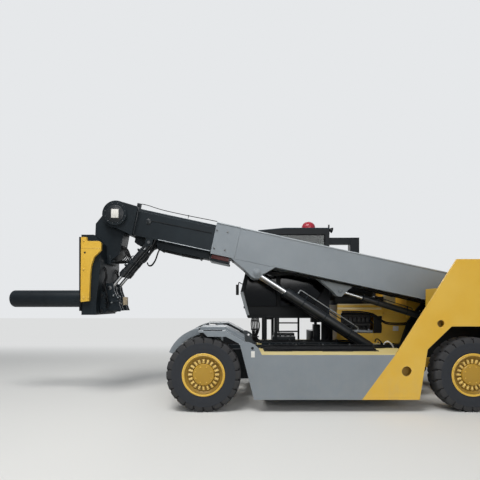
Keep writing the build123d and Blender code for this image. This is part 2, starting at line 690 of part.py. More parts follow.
def intake_duct():
    """Duct from the cab's rear wall, down to the engine pod."""
    rear, mid = CAB_REAR_U + 750, CAB_MID_Y
    duct = block(CAB_REAR_U, rear, mid - 70, mid + 90, 3110, 3250)
    return duct + block(rear - 200, rear, mid - 80, mid + 100, 1760, 3250)


def outer_boom():
    """Outer boom: welded box with collar, pads, lugs for the cylinders and pivot bosses."""
    d, w, t = BOOM_DEPTH / 2, BOOM_WIDTH / 2, BOOM_WALL
    front, rear = -BOOM_FRONT, -BOOM_REAR
    tube = block(front, rear, -w, w, -d, d)
    collar = block(front, front + COLLAR_LENGTH, -w - COLLAR_PROUD, w + COLLAR_PROUD,
                   -d - COLLAR_PROUD, d + COLLAR_PROUD)
    tube += collar
    tube -= block(front - 1, rear - 40, -w + t, w - t, -d + t, d - t)
    gap_y = w - t - INNER_WIDTH / 2 - RUN_GAP
    gap_z = d - t - INNER_DEPTH / 2 - RUN_GAP
    for sign in (-1, 1):
        low, high = sorted((sign * (w - t), sign * (w - t - gap_y)))
        tube += block(front, front + PAD_LENGTH, low, high, -180, 180)
        low, high = sorted((sign * (d - t), sign * (d - t - gap_z)))
        tube += block(front, front + PAD_LENGTH, -180, 180, low, high)
    for sign in (-1, 1):
        low, high = sorted((sign * w, sign * (CORRIDOR_HALF - RUN_GAP)))
        tube += cross_bar(0, 0, 150, low, high)
    tube -= cross_bar(0, 0, PIVOT_PIN_R + RUN_GAP, -CORRIDOR_HALF, CORRIDOR_HALF)
    return tube + lift_lugs() + comp_lugs() + pad_carrier()


def lift_lugs():
    """Box under the boom for the lift rods: two outer plates, two inner ones and a front plate."""
    s, t = LIFT_PIN
    d = BOOM_DEPTH / 2
    # columns: x, z in boom measure
    points = [(-s - 560, -d), (-s - 260, t + 20), (-s - 80, t - LUG_R + 15), (-s - 10, t - LUG_R),
              (-s + 70, t - 90), (-s + 120, t - 10), (-s + 200, t + 60), (-s + 330, -d)]
    lugs = None
    w = BOOM_WIDTH / 2
    for y0, y1 in ((-w, -w + LUG_THICK), (-110, -85), (85, 110), (w - LUG_THICK, w)):
        plate = outline(points, y0, y1)
        lugs = plate if lugs is None else lugs + plate
    front = outline([(-s - 560, -d), (-s - 260, t + 20), (-s - 240, t + 38), (-s - 520, -d)], -w, w)
    lugs += front
    for sign in (-1, 1):
        low, high = sorted((sign * w, sign * (w + 14)))
        lugs += cross_bar(-s, t, 75, low, high)
    return lugs


def comp_lugs():
    """Two plates under the boom for the levelling rod."""
    s, t = COMP_PIN
    d = BOOM_DEPTH / 2
    points = [(-s - 520, -d), (-s - 130, t - 50), (-s - 50, t - LUG_R), (-s + 50, t - LUG_R),
              (-s + 110, t - 20), (-s + 160, t + 60), (-s + 260, -d)]
    lugs = outline(points, -EYE_WIDTH / 2 - 10 - LUG_THICK, -EYE_WIDTH / 2 - 10)
    return lugs + mirror(lugs, Plane.XZ)


def pad_carrier():
    """Plate with the hose rollers under the collar."""
    d = BOOM_DEPTH / 2 + COLLAR_PROUD
    return block(-BOOM_FRONT + 20, -BOOM_FRONT + 380, -200, 200, -d - 130, -d)


def inner_boom():
    """Inner boom section with its rear pads and the hose tray below."""
    d, w, t = INNER_DEPTH / 2, INNER_WIDTH / 2, INNER_WALL
    front, rear = -INNER_FRONT, -INNER_REAR
    tube = block(front, rear, -w, w, -d, d)
    top_edges = tube.edges().filter_by(Axis.X).group_by(Axis.Z)[-1]
    tube = chamfer(top_edges, INNER_CHAMFER)
    tube -= block(front - 1, rear + 1, -w + t, w - t, -d + t, d - t - INNER_CHAMFER)
    tube -= block(front - 1, rear + 1, -w + t + INNER_CHAMFER, w - t - INNER_CHAMFER, 0, d - t)
    gap_y = BOOM_WIDTH / 2 - BOOM_WALL - w - RUN_GAP
    gap_z = BOOM_DEPTH / 2 - BOOM_WALL - d - RUN_GAP
    for sign in (-1, 1):
        low, high = sorted((sign * w, sign * (w + gap_y)))
        tube += block(rear - PAD_LENGTH, rear, low, high, -180, 180)
        low, high = sorted((sign * d, sign * (d + gap_z)))
        tube += block(rear - PAD_LENGTH, rear, -180, 180, low, high)
    tray_rear = -BOOM_FRONT - 30
    tube += outline([(-TRAY_FRONT, -d), (-TRAY_FRONT + 60, -d - TRAY_DEPTH), (tray_rear, -d - TRAY_DEPTH),
                     (tray_rear, -d)], -TRAY_WIDTH / 2, TRAY_WIDTH / 2)
    return tube + tilt_brackets()


def tilt_brackets():
    """Ears under the inner boom for the tilt barrels."""
    s, t = TILT_BASE
    d = INNER_DEPTH / 2
    ears = None
    for side in (-1, 1):
        for edge in (-EYE_WIDTH / 2 - 26, EYE_WIDTH / 2 + 2):
            y0 = side * TILT_Y + edge
            ear = cross_bar(-s, t, 70, y0, y0 + 24) + block(-s - 70, -s + 70, y0, y0 + 24, t, -d + 5)
            ears = ear if ears is None else ears + ear
    return ears


def tilt_pins():
    """Pins of the tilt barrels, through their ears."""
    s, t = TILT_BASE
    outer = EYE_WIDTH / 2 + 26 + 12
    left = cross_bar(-s, t, TILT_PIN_R, -TILT_Y - outer, -TILT_Y + outer)
    return both_sides(left)


def boom_head():
    """Nose casting: round head plates about the tilt pin, with the raised rings."""
    w = HEAD_WIDTH / 2
    d = INNER_DEPTH / 2
    s, t = HEAD_S, HEAD_T
    # columns: x, z in boom measure
    cheek = [(-s, t + HEAD_R), (-INNER_FRONT + 60, d + 12), (-INNER_FRONT + 60, -d - 12),
             (-s + 60, t - HEAD_R), (-s, t - HEAD_R)]
    cheeks = None
    for y0, y1 in ((-w + 40, -NECK_HALF - 6), (NECK_HALF + 6, w - 40)):
        plate = outline(cheek, y0, y1) + cross_bar(-s, t, HEAD_R, y0, y1)
        cheeks = plate if cheeks is None else cheeks + plate
    cheeks += block(-INNER_FRONT, -INNER_FRONT + 60, -w + 40, w - 40, -d - 12, d + 12)
    cheeks -= block(-INNER_FRONT - 2, -INNER_FRONT + 61, -NECK_HALF + 30, NECK_HALF - 30, -200, 200)
    for sign in (-1, 1):
        low, high = sorted((sign * (w - 40), sign * w))
        cheeks += cross_bar(-s, t, HEAD_RING_R, low, high)
    cheeks -= block(-INNER_FRONT, -INNER_FRONT + 61, -INNER_WIDTH / 2, INNER_WIDTH / 2, -d, d)
    return cheeks


def head_pin():
    """Tilt pin through the head and the carriage neck."""
    u, z = HEAD
    return cross_bar(u, z, PIN_R, -HEAD_WIDTH / 2 + 60, HEAD_WIDTH / 2 - 60)


def cylinder(base, eye, y, barrel_r, rod_r, barrel_length, rod_length, pin_r):
    """Barrel hinged at base and rod that ends at eye; both in a plane at y."""
    mouth = along(base, eye, barrel_length)
    barrel = bar(base, mouth, y, barrel_r)
    barrel += bar(along(base, eye, barrel_length - 120), mouth, y, barrel_r + 8)
    barrel += cross_bar(*base, barrel_r * 0.95, y - EYE_WIDTH / 2, y + EYE_WIDTH / 2)
    trim = block(base[0] - 140, base[0] + 140, y - 200, y - EYE_WIDTH / 2, base[1] - 140, base[1] + 140)
    barrel -= trim + mirror(Pos(0, -y, 0) * trim, Plane.XZ).moved(Location((0, y, 0)))
    bore_start = along(base, eye, barrel_r + 60)
    barrel -= bar(bore_start, along(base, eye, barrel_length - 60), y, barrel_r - CYLINDER_WALL)
    barrel -= bar(bore_start, along(base, eye, barrel_length + 10), y, rod_r + RUN_GAP)
    barrel -= cross_bar(*base, pin_r + RUN_GAP, y - EYE_WIDTH, y + EYE_WIDTH)
    rod = bar(along(eye, base, rod_length), eye, y, rod_r)
    rod += cross_bar(*eye, rod_r * 1.6, y - EYE_WIDTH / 2, y + EYE_WIDTH / 2)
    return barrel, rod


def lift_cylinders():
    barrel, rod = cylinder(LIFT_BASE, LIFT_EYE, -LIFT_Y, LIFT_BARREL_R, LIFT_ROD_R,
                           LIFT_BARREL_LENGTH, LIFT_ROD_LENGTH, LIFT_BASE_PIN_R)
    return both_sides(barrel), both_sides(rod)


def comp_cylinder():
    return cylinder(COMP_BASE, COMP_EYE, 0, COMP_BARREL_R, COMP_ROD_R,
                    COMP_BARREL_LENGTH, COMP_ROD_LENGTH, COMP_BASE_PIN_R)


def tilt_cylinders():
    barrel, rod = cylinder(TILT_TOP, TILT_EYE, -TILT_Y, TILT_BARREL_R, TILT_ROD_R,
                           TILT_BARREL_LENGTH, TILT_ROD_LENGTH, TILT_PIN_R)
    return both_sides(barrel), both_sides(rod)


def carriage_frame():
    """Tilt frame: neck about the head pin, box back and the foot with the rod ears."""
    u, z = HEAD
    # columns: u, z
    neck = [(u - 180, z + 150), (u - 430, z - 160), (u - 441, z - 400), (u - 441, z - 897),
            (u - 170, z - 897), (u + 40, z - 747), (u + 150, z - 150), (u + 150, z + 60)]
    frame_part = outline(neck, -NECK_HALF, NECK_HALF) + cross_bar(u, z, 205, -NECK_HALF, NECK_HALF)
    face = u - BACK_AHEAD
    back = outline([(face, z - 439), (u - 330, z - 439), (u - 210, z - 597), (u - 210, z - 997),
                    (u - 290, z - 1737), (u - 290, z - 1930), (face, z - 1930)],
                   -CARRIAGE_HALF_WIDTH + CARRIAGE_PLATE, CARRIAGE_HALF_WIDTH - CARRIAGE_PLATE)
    frame_part += back
    frame_part += block(u - 310, u - 190, -330, 330, z - 1897, z - 1497)
    for side in (-1, 1):
        for edge in (-EYE_WIDTH / 2 - 34, EYE_WIDTH / 2 + 4):
            y0 = side * TILT_Y + edge
            ear = outline([(u - 210, z - 1857), (u + 100, z - 1857), (TILT_EYE[0] + 90, TILT_EYE[1] - 60),
                           (TILT_EYE[0] + 60, TILT_EYE[1] + 90), (TILT_EYE[0] - 60, TILT_EYE[1] + 90),
                           (u - 220, z - 1497)], y0, y0 + 30)
            frame_part += ear
    frame_part -= cross_bar(u, z, PIN_R + RUN_GAP, -NECK_HALF - 1, NECK_HALF + 1)
    return frame_part


def carriage_plates():
    """Yellow side plates of the carriage."""
    # columns: distance ahead of the head pin, distance below it
    points = [(542, 494), (442, 494), (432, 568), (210, 568), (174, 604), (174, 733), (303, 862),
              (358, 1028), (376, 1194), (395, 1673), (551, 1691)]
    points = [(HEAD[0] - ahead, HEAD[1] - below) for ahead, below in points]
    left = outline(points, -CARRIAGE_HALF_WIDTH, -CARRIAGE_HALF_WIDTH + CARRIAGE_PLATE)
    return both_sides(left)


def ram():
    """Coil ram: a round bar with a domed tip on its flange and head plate."""
    body = Pos(RAM_FACE_U - RAM_LENGTH / 2, 0, RAM_Z) * Rot(Y=90) * Cylinder(RAM_R, RAM_LENGTH)
    body = fillet(body.edges().sort_by(Axis.X)[0], 60)
    body += Pos(RAM_FACE_U + 25, 0, RAM_Z) * Rot(Y=90) * Cylinder(RAM_R + 60, 50)
    body += block(RAM_FACE_U + 40, HEAD[0] - BACK_AHEAD, -330, 330, HEAD[1] - 1897, HEAD[1] - 737)
    return body


def pivot_pin():
    """Boom pivot pin through both frame plates."""
    reach = FRAME_OUT_Y + PIN_HEAD
    pin = cross_bar(BOOM_PIVOT_U, BOOM_PIVOT_Z, PIVOT_PIN_R, -reach, reach)
    for side in (-1, 1):
        low, high = sorted((side * FRAME_OUT_Y, side * reach))
        pin += cross_bar(BOOM_PIVOT_U, BOOM_PIVOT_Z, PIN_HEAD_R, low, high)
    return pin


def front_lamps():
    """Nose bracket with a lamp box on each side of the corridor."""
    left = block(FRAME_FRONT_U - 60, FRAME_FRONT_U, -FRAME_OUT_Y, -CORRIDOR_HALF + 120, 800, 900)
    left += block(FRAME_FRONT_U - 110, FRAME_FRONT_U - 60, -FRAME_OUT_Y, -CORRIDOR_HALF + 80, 780, 920)
    return both_sides(left)


def build():
    lift_barrel, lift_rod = lift_cylinders()
    comp_barrel, comp_rod = comp_cylinder()
    tilt_barrel, tilt_rod = tilt_cylinders()
    boom_hole = cross_bar(BOOM_PIVOT_U, BOOM_PIVOT_Z, PIVOT_PIN_R + SEAT_GAP, -FRAME_OUT_Y - 1, FRAME_OUT_Y + 1)
    frame_body = frame() - boom_hole
    pins = frame_pins()
    for pin in pins.solids():
        frame_body -= pin
    inner = inner_boom()
    rods = tilt_pins()
    for rod in rods.solids():
        inner -= rod
    head_cut = cross_bar(*HEAD, PIN_R + SEAT_GAP, -HEAD_WIDTH / 2 + 60, HEAD_WIDTH / 2 - 60)
    parts = {
        "chassis_frame": frame_body,
        "cylinder_base_pins": pins,
        "side_plate_left": side_plate(),
        "side_plate_right": mirror(side_plate(), Plane.XZ),
        "deck_plates": deck(),
        "side_tanks": side_tanks(),
        "front_fenders": both_sides(fender()),
        "front_mudguards": both_sides(mudguard()),
        "front_axle": front_axle(),
        "rear_axle": rear_axle(),
        "counterweight": counterweight(),
        "tail_lamps": tail_lamps(),
        "hydraulic_tank": rear_box(True),
        "radiator_box": rear_box(False),
        "engine_hood": engine_hood(),
        "engine_block": engine_block(),
        "intake_duct": intake_duct(),
        "boom_pivot_pin": pivot_pin(),
        "front_lamps": front_lamps(),
        "cab_shell": cab_shell(),
        "cab_glass": cab_glass(),
        "cab_stand": cab_stand(),
        "cab_step": cab_step(),
        "driver_seat": seat(),
        "steering_console": console(),
        "roof_beacon": beacon(),
        "cab_door": cab_door(),
        "door_glass": door_glass(),
        "outer_boom": on_boom(outer_boom()),
        "inner_boom": on_boom(inner),
        "tilt_base_pins": on_boom(Compound(rods.solids())),
        "boom_head": on_boom(boom_head()) - head_cut,
        "head_pin": head_pin(),
        "carriage_frame": carriage_frame(),
        "carriage_plates": carriage_plates(),
        "coil_ram": ram(),
        "lift_barrels": lift_barrel,
        "lift_rods": lift_rod,
        "levelling_barrel": comp_barrel,
        "levelling_rod": comp_rod,
        "tilt_barrels": tilt_barrel,
        "tilt_rods": tilt_rod,
        "knuckle_left": knuckle(),
        "knuckle_right": mirror(knuckle(), Plane.XZ),
    }
    for name, u in (("front", 0), ("rear", WHEELBASE)):
        for side in ("left", "right"):
            parts[f"{name}_tyre_{side}"] = at_wheel(tyre(), u, side == "left")
            parts[f"{name}_rim_{side}"] = at_wheel(rim(), u, side == "left")
    return parts


def report_place(name, u, y, z):
    print(f"{name}: {(u + AXLE_X) / 1000:.4f} {y / 1000:.4f} {z / 1000:.4f}")


os.makedirs("parts", exist_ok=True)
for name, shape in build().items():
    export_step(Pos(AXLE_X, 0, 0) * shape, f"parts/{name}.step")

report_place("front axle", 0, 0, AXLE_Z)
report_place("rear axle", WHEELBASE, 0, AXLE_Z)
report_place("boom pivot", BOOM_PIVOT_U, 0, BOOM_PIVOT_Z)
report_place("head pin", HEAD[0], 0, HEAD[1])
report_place("lift base", LIFT_BASE[0], 0, LIFT_BASE[1])
report_place("lift eye", LIFT_EYE[0], 0, LIFT_EYE[1])
report_place("levelling base", COMP_BASE[0], 0, COMP_BASE[1])
report_place("levelling eye", COMP_EYE[0], 0, COMP_EYE[1])
report_place("tilt base", TILT_TOP[0], 0, TILT_TOP[1])
report_place("tilt eye", TILT_EYE[0], 0, TILT_EYE[1])
report_place("door hinge", HINGE_U, CAB_OUT_Y + HINGE_OUT, 0)
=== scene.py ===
"""A heavy telescopic handler with a coil ram, as it stands in the yard with its boom low.
Every length is in metres. u runs back from the front axle, y to the machine's right and z up."""

import math

import bmesh
import bpy
from mathutils import Matrix, Vector


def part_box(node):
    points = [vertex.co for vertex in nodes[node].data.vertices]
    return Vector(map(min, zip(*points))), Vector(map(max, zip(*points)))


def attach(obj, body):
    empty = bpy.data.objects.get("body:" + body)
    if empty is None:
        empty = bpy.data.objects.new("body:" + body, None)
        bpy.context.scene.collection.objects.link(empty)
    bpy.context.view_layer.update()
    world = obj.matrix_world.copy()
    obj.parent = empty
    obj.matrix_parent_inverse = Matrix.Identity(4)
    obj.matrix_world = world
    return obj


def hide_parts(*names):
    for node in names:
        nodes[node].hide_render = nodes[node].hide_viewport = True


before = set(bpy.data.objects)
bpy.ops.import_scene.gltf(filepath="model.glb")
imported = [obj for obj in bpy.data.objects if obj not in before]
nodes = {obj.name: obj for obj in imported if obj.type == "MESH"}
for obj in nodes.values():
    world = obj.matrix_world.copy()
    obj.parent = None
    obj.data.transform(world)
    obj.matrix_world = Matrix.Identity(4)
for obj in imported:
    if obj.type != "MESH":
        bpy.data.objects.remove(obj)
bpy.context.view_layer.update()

# The yard as a photo studio: a pale floor that runs to a pale wall, wide soft lamps overhead
# and on both sides, and a camera held level at the height of a standing person's eyes.
FRONT_AXLE_X = -0.865
CAMERA_AT = (-0.269, -7.4, 1.76)
PHOTO_WIDTH_PX = 480
FOCAL_PX = 369.3
HORIZON_PX = 304.5
SENSOR_MM = 36

scene = bpy.context.scene
scene.view_settings.view_transform = "Standard"
camera = bpy.data.objects.new("camera", bpy.data.cameras.new("camera"))
scene.collection.objects.link(camera)
camera.location = CAMERA_AT
camera.rotation_euler = (math.radians(90), 0, 0)
camera.data.sensor_width = SENSOR_MM
camera.data.lens = SENSOR_MM * FOCAL_PX / PHOTO_WIDTH_PX
camera.data.shift_y = (HORIZON_PX - PHOTO_WIDTH_PX / 2) / PHOTO_WIDTH_PX
camera.data.clip_end = 200
scene.camera = camera


def paint_chip(code):
    """A colour card's sRGB hex code as the linear colour that a shader takes."""
    levels = [int(code[i:i + 2], 16) / 255 for i in (1, 3, 5)]
    return tuple(v / 12.92 if v <= 0.04045 else ((v + 0.055) / 1.055) ** 2.4 for v in levels) + (1,)


def add_node(tree, kind, inputs=None, **settings):
    """Adds a shader node with its settings; an input that is given a socket is linked to it."""
    node = tree.nodes.new("ShaderNode" + kind)
    for name, value in settings.items():
        setattr(node, name, value)
    for key, value in (inputs or {}).items():
        if isinstance(value, bpy.types.NodeSocket):
            tree.links.new(value, node.inputs[key])
        else:
            node.inputs[key].default_value = value
    return node


def maths(tree, operation, first, second=0.0):
    """The result of one sum in a shader."""
    return add_node(tree, "Math", {0: first, 1: second}, operation=operation).outputs[0]


def remap(tree, value, low, high, to_low=0.0, to_high=1.0, **settings):
    """A value taken from the range low to high into the range to_low to to_high."""
    return add_node(tree, "MapRange", {"Value": value, "From Min": low, "From Max": high,
                                       "To Min": to_low, "To Max": to_high}, **settings).outputs[0]


def blend(tree, share, first, second):
    """The first colour at share 0 and the second at 1; a colour is a hex code or a socket."""
    first, second = (paint_chip(c) if isinstance(c, str) else c for c in (first, second))
    mix = add_node(tree, "Mix", {"Factor": share, "A": first, "B": second}, data_type="RGBA")
    return mix.outputs["Result"]


def noise(tree, place, scale, detail, roughness=0.5):
    """Cloudy noise with a scale per metre."""
    return add_node(tree, "TexNoise", {"Vector": place, "Scale": scale, "Detail": detail,
                                       "Roughness": roughness}).outputs["Fac"]


def part_of(tree, place, axis):
    """One coordinate of a place."""
    return add_node(tree, "SeparateXYZ", {0: place}).outputs[axis]


def bare_material(name):
    """A material with an empty node tree, its tree, and the place that is being shaded."""
    made = bpy.data.materials.new(name)
    made.use_nodes = True
    made.node_tree.nodes.clear()
    return made, made.node_tree, add_node(made.node_tree, "TexCoord").outputs["Object"]


def end_with(tree, inputs):
    """Ends a material's tree with the principled shader."""
    add_node(tree, "OutputMaterial", {0: add_node(tree, "BsdfPrincipled", inputs).outputs[0]})


def glow_by(tree, share, shader, colour):
    """Ends a stage material's tree: a share of it is shown in a flat colour in place of its shader."""
    glow = add_node(tree, "Emission", {"Color": paint_chip(colour), "Strength": 1.0})
    both = add_node(tree, "MixShader", {0: share, 1: shader.outputs[0], 2: glow.outputs[0]})
    add_node(tree, "OutputMaterial", {0: both.outputs[0]})


# Concrete floor with a sealed, pale, even finish that keeps the machine's shadow. Past the
# lamps' reach it is shown as pale as it is lit near the machine.
FLOOR_COLOUR, FLOOR_CLOUD, FAR_FLOOR_COLOUR = "#D9D8D4", "#CFCDC8", "#DDDEDE"
WALL_COLOUR = "#E6E8EA"
LIT_REACH, DIM_REACH, MACHINE_HALF = 3.6, 9.0, 4.5
floor_concrete, tree, place = bare_material("sealed_pale_concrete")
cloud = add_node(tree, "TexNoise", {"Scale": 0.8, "Detail": 4.0, "Roughness": 0.6}).outputs["Fac"]
shader = add_node(tree, "BsdfPrincipled", {"Base Color": blend(tree, cloud, FLOOR_COLOUR, FLOOR_CLOUD),
                                           "Roughness": 0.85, "IOR": 1.45})
lengthways = maths(tree, "SUBTRACT", maths(tree, "ABSOLUTE", part_of(tree, place, "X")), MACHINE_HALF)
away = maths(tree, "MAXIMUM", maths(tree, "ABSOLUTE", part_of(tree, place, "Y")), lengthways)
away = remap(tree, away, LIT_REACH, DIM_REACH, interpolation_type="SMOOTHSTEP")
rays = add_node(tree, "LightPath").outputs
glow_by(tree, maths(tree, "MULTIPLY", away, rays["Is Camera Ray"]), shader, FAR_FLOOR_COLOUR)

wall_paint, tree, place = bare_material("matt_white_backdrop")
shader = add_node(tree, "BsdfPrincipled", {"Base Color": paint_chip(WALL_COLOUR), "Roughness": 0.95})
rays = add_node(tree, "LightPath").outputs
seen = maths(tree, "MAXIMUM", rays["Is Camera Ray"], rays["Is Glossy Ray"])
glow_by(tree, maths(tree, "MAXIMUM", seen, rays["Is Transmission Ray"]), shader, WALL_COLOUR)


def stage_sheet(name, corners, finish):
    """A flat sheet of the studio through four corners."""
    mesh = bpy.data.meshes.new(name)
    mesh.from_pydata(corners, [], [(0, 1, 2, 3)])
    sheet = bpy.data.objects.new(name, mesh)
    sheet.data.materials.append(finish)
    scene.collection.objects.link(sheet)


stage_sheet("floor", [(-40, -40, 0), (40, -40, 0), (40, 40, 0), (-40, 40, 0)], floor_concrete)
stage_sheet("backdrop", [(-60, 40, 0), (60, 40, 0), (60, 40, 45), (-60, 40, 45)], wall_paint)

world = bpy.data.worlds.new("studio_sky")
scene.world = world
world.use_nodes = True
tree = world.node_tree
tree.nodes.clear()
fill = add_node(tree, "Background", {"Color": paint_chip("#DCE4EE"), "Strength": 0.36})
card = add_node(tree, "Background", {"Color": paint_chip(WALL_COLOUR), "Strength": 1.0})
rays = add_node(tree, "LightPath").outputs
both = add_node(tree, "MixShader", {0: rays["Is Camera Ray"], 1: fill.outputs[0], 2: card.outputs[0]})
add_node(tree, "OutputWorld", {0: both.outputs[0]})


def soft_lamp(name, place, target, size, watts):
    """A wide softbox hung at a place and turned to a target."""
    lamp = bpy.data.lights.new(name, "AREA")
    lamp.shape, lamp.size, lamp.size_y, lamp.energy = "RECTANGLE", size[0], size[1], watts
    holder = bpy.data.objects.new(name, lamp)
    holder.location = place
    holder.rotation_euler = (Vector(target) - Vector(place)).to_track_quat("-Z", "Y").to_euler()
    scene.collection.objects.link(holder)


soft_lamp("overhead_lamp", (-3, -6, 13), (0, 0, 1.4), (7, 5), 1500)
soft_lamp("left_lamp", (3, -14, 6), (0, 0, 1.5), (9, 6), 560)
soft_lamp("right_lamp", (2, 15, 8), (0, 0, 1.5), (9, 6), 560)

# Sheet metal and weldments: blasted steel plate, primed and sprayed with two-pack enamel.
# The eye gets a satin skin with faint orange peel, sun-faded patches, dust low down and
# pale edges, partly rubbed wear and partly painted highlight where the edges catch the light.
# Peel is really 3 mm across; it is drawn at 14 mm so that it shows.
PEEL_MM, FADE_PATCH_MM, STREAK_WIDTH_MM, EDGE_MM = 14, 900, 60, 7
DUST_COLOUR, DUST_TOP = "#A39C8E", 1.1


def sprayed_enamel(name, colour, faded, edge, roughness=0.42, dust=0.45, shine=0.5, second=None, mask=None):
    """Two-pack enamel; a second colour goes where mask, a function of the tree, gives 1."""
    made, tree, place = bare_material(name)
    if second:
        where = mask(tree, place)
        colour = blend(tree, where, colour, second[0])
        faded = blend(tree, where, faded, second[1])
    patch = remap(tree, noise(tree, place, 1000 / FADE_PATCH_MM, 5.0, 0.55), 0.35, 0.7)
    coat = blend(tree, patch, colour, faded)
    drawn_out = add_node(tree, "VectorMath", {0: place, 1: (1, 1, 0.06)}, operation="MULTIPLY").outputs[0]
    streak = remap(tree, noise(tree, drawn_out, 1000 / STREAK_WIDTH_MM, 3.0), 0.5, 0.85, 0.0, 0.22)
    film = maths(tree, "ADD", noise(tree, place, 7.0, 6.0, 0.7), streak)
    lower = remap(tree, part_of(tree, place, "Z"), 0.0, DUST_TOP, 1.0, 0.15)
    film = maths(tree, "MULTIPLY", remap(tree, film, 0.4, 1.0, 0.0, dust), lower)
    coat = blend(tree, film, coat, DUST_COLOUR)
    # Edges are blended toward the edge colour: partly rubbed wear, partly a painted highlight of edges
    # catching the light.
    rounded = add_node(tree, "Bevel", {"Radius": EDGE_MM / 1000}, samples=4).outputs[0]
    flat = add_node(tree, "NewGeometry").outputs["Normal"]
    turn = add_node(tree, "VectorMath", {0: rounded, 1: flat}, operation="DOT_PRODUCT").outputs["Value"]
    coat = blend(tree, remap(tree, turn, 0.99, 0.75, 0.0, 0.55), coat, edge)
    peel = add_node(tree, "Bump", {"Height": noise(tree, place, 1000 / PEEL_MM, 2.0), "Strength": 0.08,
                                   "Distance": 0.002, "Normal": rounded}).outputs[0]
    end_with(tree, {"Base Color": coat, "Roughness": remap(tree, film, 0.0, 1.0, roughness, 0.9),
                    "IOR": 1.5, "Specular IOR Level": shine, "Normal": peel})
    return made


def plain_finish(name, colour, stained, roughness, metallic=0.0, ior=1.5, grain_mm=25, bump_mm=0.3,
                 spread=0.12, shine=0.5, clear=0.0, milky=0.0):
    """A finish of one colour with its own stains, roughness spread and grain."""
    made, tree, place = bare_material(name)
    stain = noise(tree, place, 1000 / (6 * grain_mm), 5.0, 0.65)
    grain = add_node(tree, "Bump", {"Height": noise(tree, place, 1000 / grain_mm, 3.0), "Strength": 0.5,
                                    "Distance": bump_mm / 1000}).outputs[0]
    gloss = remap(tree, stain, 0.3, 0.7, max(roughness - spread, 0.02), roughness + spread)
    end_with(tree, {"Base Color": blend(tree, stain, colour, stained), "Roughness": gloss, "IOR": ior,
                    "Normal": grain, "Metallic": metallic, "Specular IOR Level": shine,
                    "Transmission Weight": clear, "Subsurface Weight": milky})
    return made


def dress(finish, *names):
    """Gives CAD nodes their real finish."""
    for name in names:
        data = nodes[name].data
        data.materials.clear()
        data.materials.append(finish)


# Enamels. Yellow: the machine's own; a lighter coat on the hood and a pale one on the rails over it,
# both painted sunlight; and one on the deck, trodden dull and lightened as painted sunlight.
# Gray: boom and skirts, and a pale gray for lips and strips, partly rubbed pale by boots and pads
# and partly painted highlight.
YELLOW, YELLOW_OLD = "#D2A32A", "#D8AF42"
GRAY, GRAY_OLD = "#747B80", "#7E858A"
yellow_enamel = sprayed_enamel("yellow_sprayed_enamel", YELLOW, YELLOW_OLD, "#EFD98F", dust=0.28)
hood_enamel = sprayed_enamel("sun_painted_yellow_enamel", "#E2B237", "#E8BE52", "#F6E3AC", dust=0.1)
sunlit_enamel = sprayed_enamel("sunlit_yellow_enamel", "#F0D9A0", "#F4E2B4", "#FBEFC8", dust=0.1)
deck_enamel = sprayed_enamel("trodden_and_sun_painted_yellow_enamel", "#D3BD72", "#E0D09A", "#F0E4BC", 0.5, dust=0.7)
gray_enamel = sprayed_enamel("gray_sprayed_enamel", GRAY, GRAY_OLD, "#C4C9CC")
lip_enamel = sprayed_enamel("pale_gray_enamel_rubbed_and_highlit", "#9AA1A5", "#B4B9BC", "#D9DCDD", dust=0.2)
# Black: satin on frames, glossy on the cylinders, bluish on the cab and its roof; faded on the roof and
# darker on the cab, where the darkness is painted shade of the boom's shadow.
black_enamel = sprayed_enamel("black_sprayed_enamel", "#11171B", "#1A2227", "#3F4A52", 0.45, 0.07, 0.22)
barrel_enamel = sprayed_enamel("glossy_black_enamel", "#15181B", "#202427", "#5A6064", 0.3, 0.10)
cab_enamel = sprayed_enamel("black_cab_enamel_painted_shade", "#090D11", "#10161B", "#2B343C", 0.42, 0.05, 0.2)
roof_enamel = sprayed_enamel("black_roof_enamel", "#1D2A34", "#25333D", "#4A5863", 0.45, 0.15, 0.3)
# Gold: the rim's bright outer ring, its worn clamps, its shaded hub cover and its dark dish; the hub cover
# and dish are painted shade deep in the rim.
rim_enamel = sprayed_enamel("golden_rim_enamel", "#D2A532", "#DDB44A", "#FFF0B0", 0.25, 0.05)
clamp_enamel = sprayed_enamel("worn_golden_enamel", "#CFAA4C", "#E0C070", "#F6E2A2", 0.3, 0.05)
hub_enamel = sprayed_enamel("shaded_golden_enamel", "#A37B1A", "#AE8828", "#B4924A", 0.4, 0.06)
dish_enamel = sprayed_enamel("shaded_golden_dish_enamel", "#84641A", "#967628", "#A58240", 0.5, 0.05)

# Hard chrome: ground, plated and polished rods, wiped by their seals; nearly a mirror.
hard_chrome = plain_finish("ground_hard_chrome", "#D6D7D8", "#C2C4C5", 0.13, 1.0, bump_mm=0.02, spread=0.04)
# Machined steel pins and bolts: bright turned steel gone gray under a film of grease.
turned_steel = plain_finish("turned_greased_steel", "#8C8E90", "#4C4A46", 0.38, 1.0, grain_mm=12)
# Zinc-plated nuts and clips: pale dull metal.
zinc_plate = plain_finish("zinc_plated_steel", "#B4B8BA", "#8E9394", 0.34, 1.0, grain_mm=10)
# Silvered glass of the mirror: smooth and bright.
mirror_glass = plain_finish("silvered_mirror_glass", "#C9CED1", "#BFC5C8", 0.06, 1.0, bump_mm=0.01,
                            spread=0.02)
# Cast and painted engine iron: dark, oily and rough.
sand_cast_iron = plain_finish("sand_cast_iron", "#303132", "#1B1B1C", 0.6, grain_mm=8, bump_mm=0.8)
# Injection-moulded black plastic with a fine spark-eroded grain.
moulded_abs = plain_finish("moulded_black_abs", "#0F1113", "#17191B", 0.55, ior=1.53, grain_mm=4,
                           bump_mm=0.15, shine=0.3)
# Hydraulic hose: extruded nitrile rubber with a cloth-marked skin.
hose_rubber = plain_finish("wrapped_nitrile_hose", "#0B0C0D", "#17181A", 0.62, grain_mm=5, bump_mm=0.4,
                           shine=0.25)

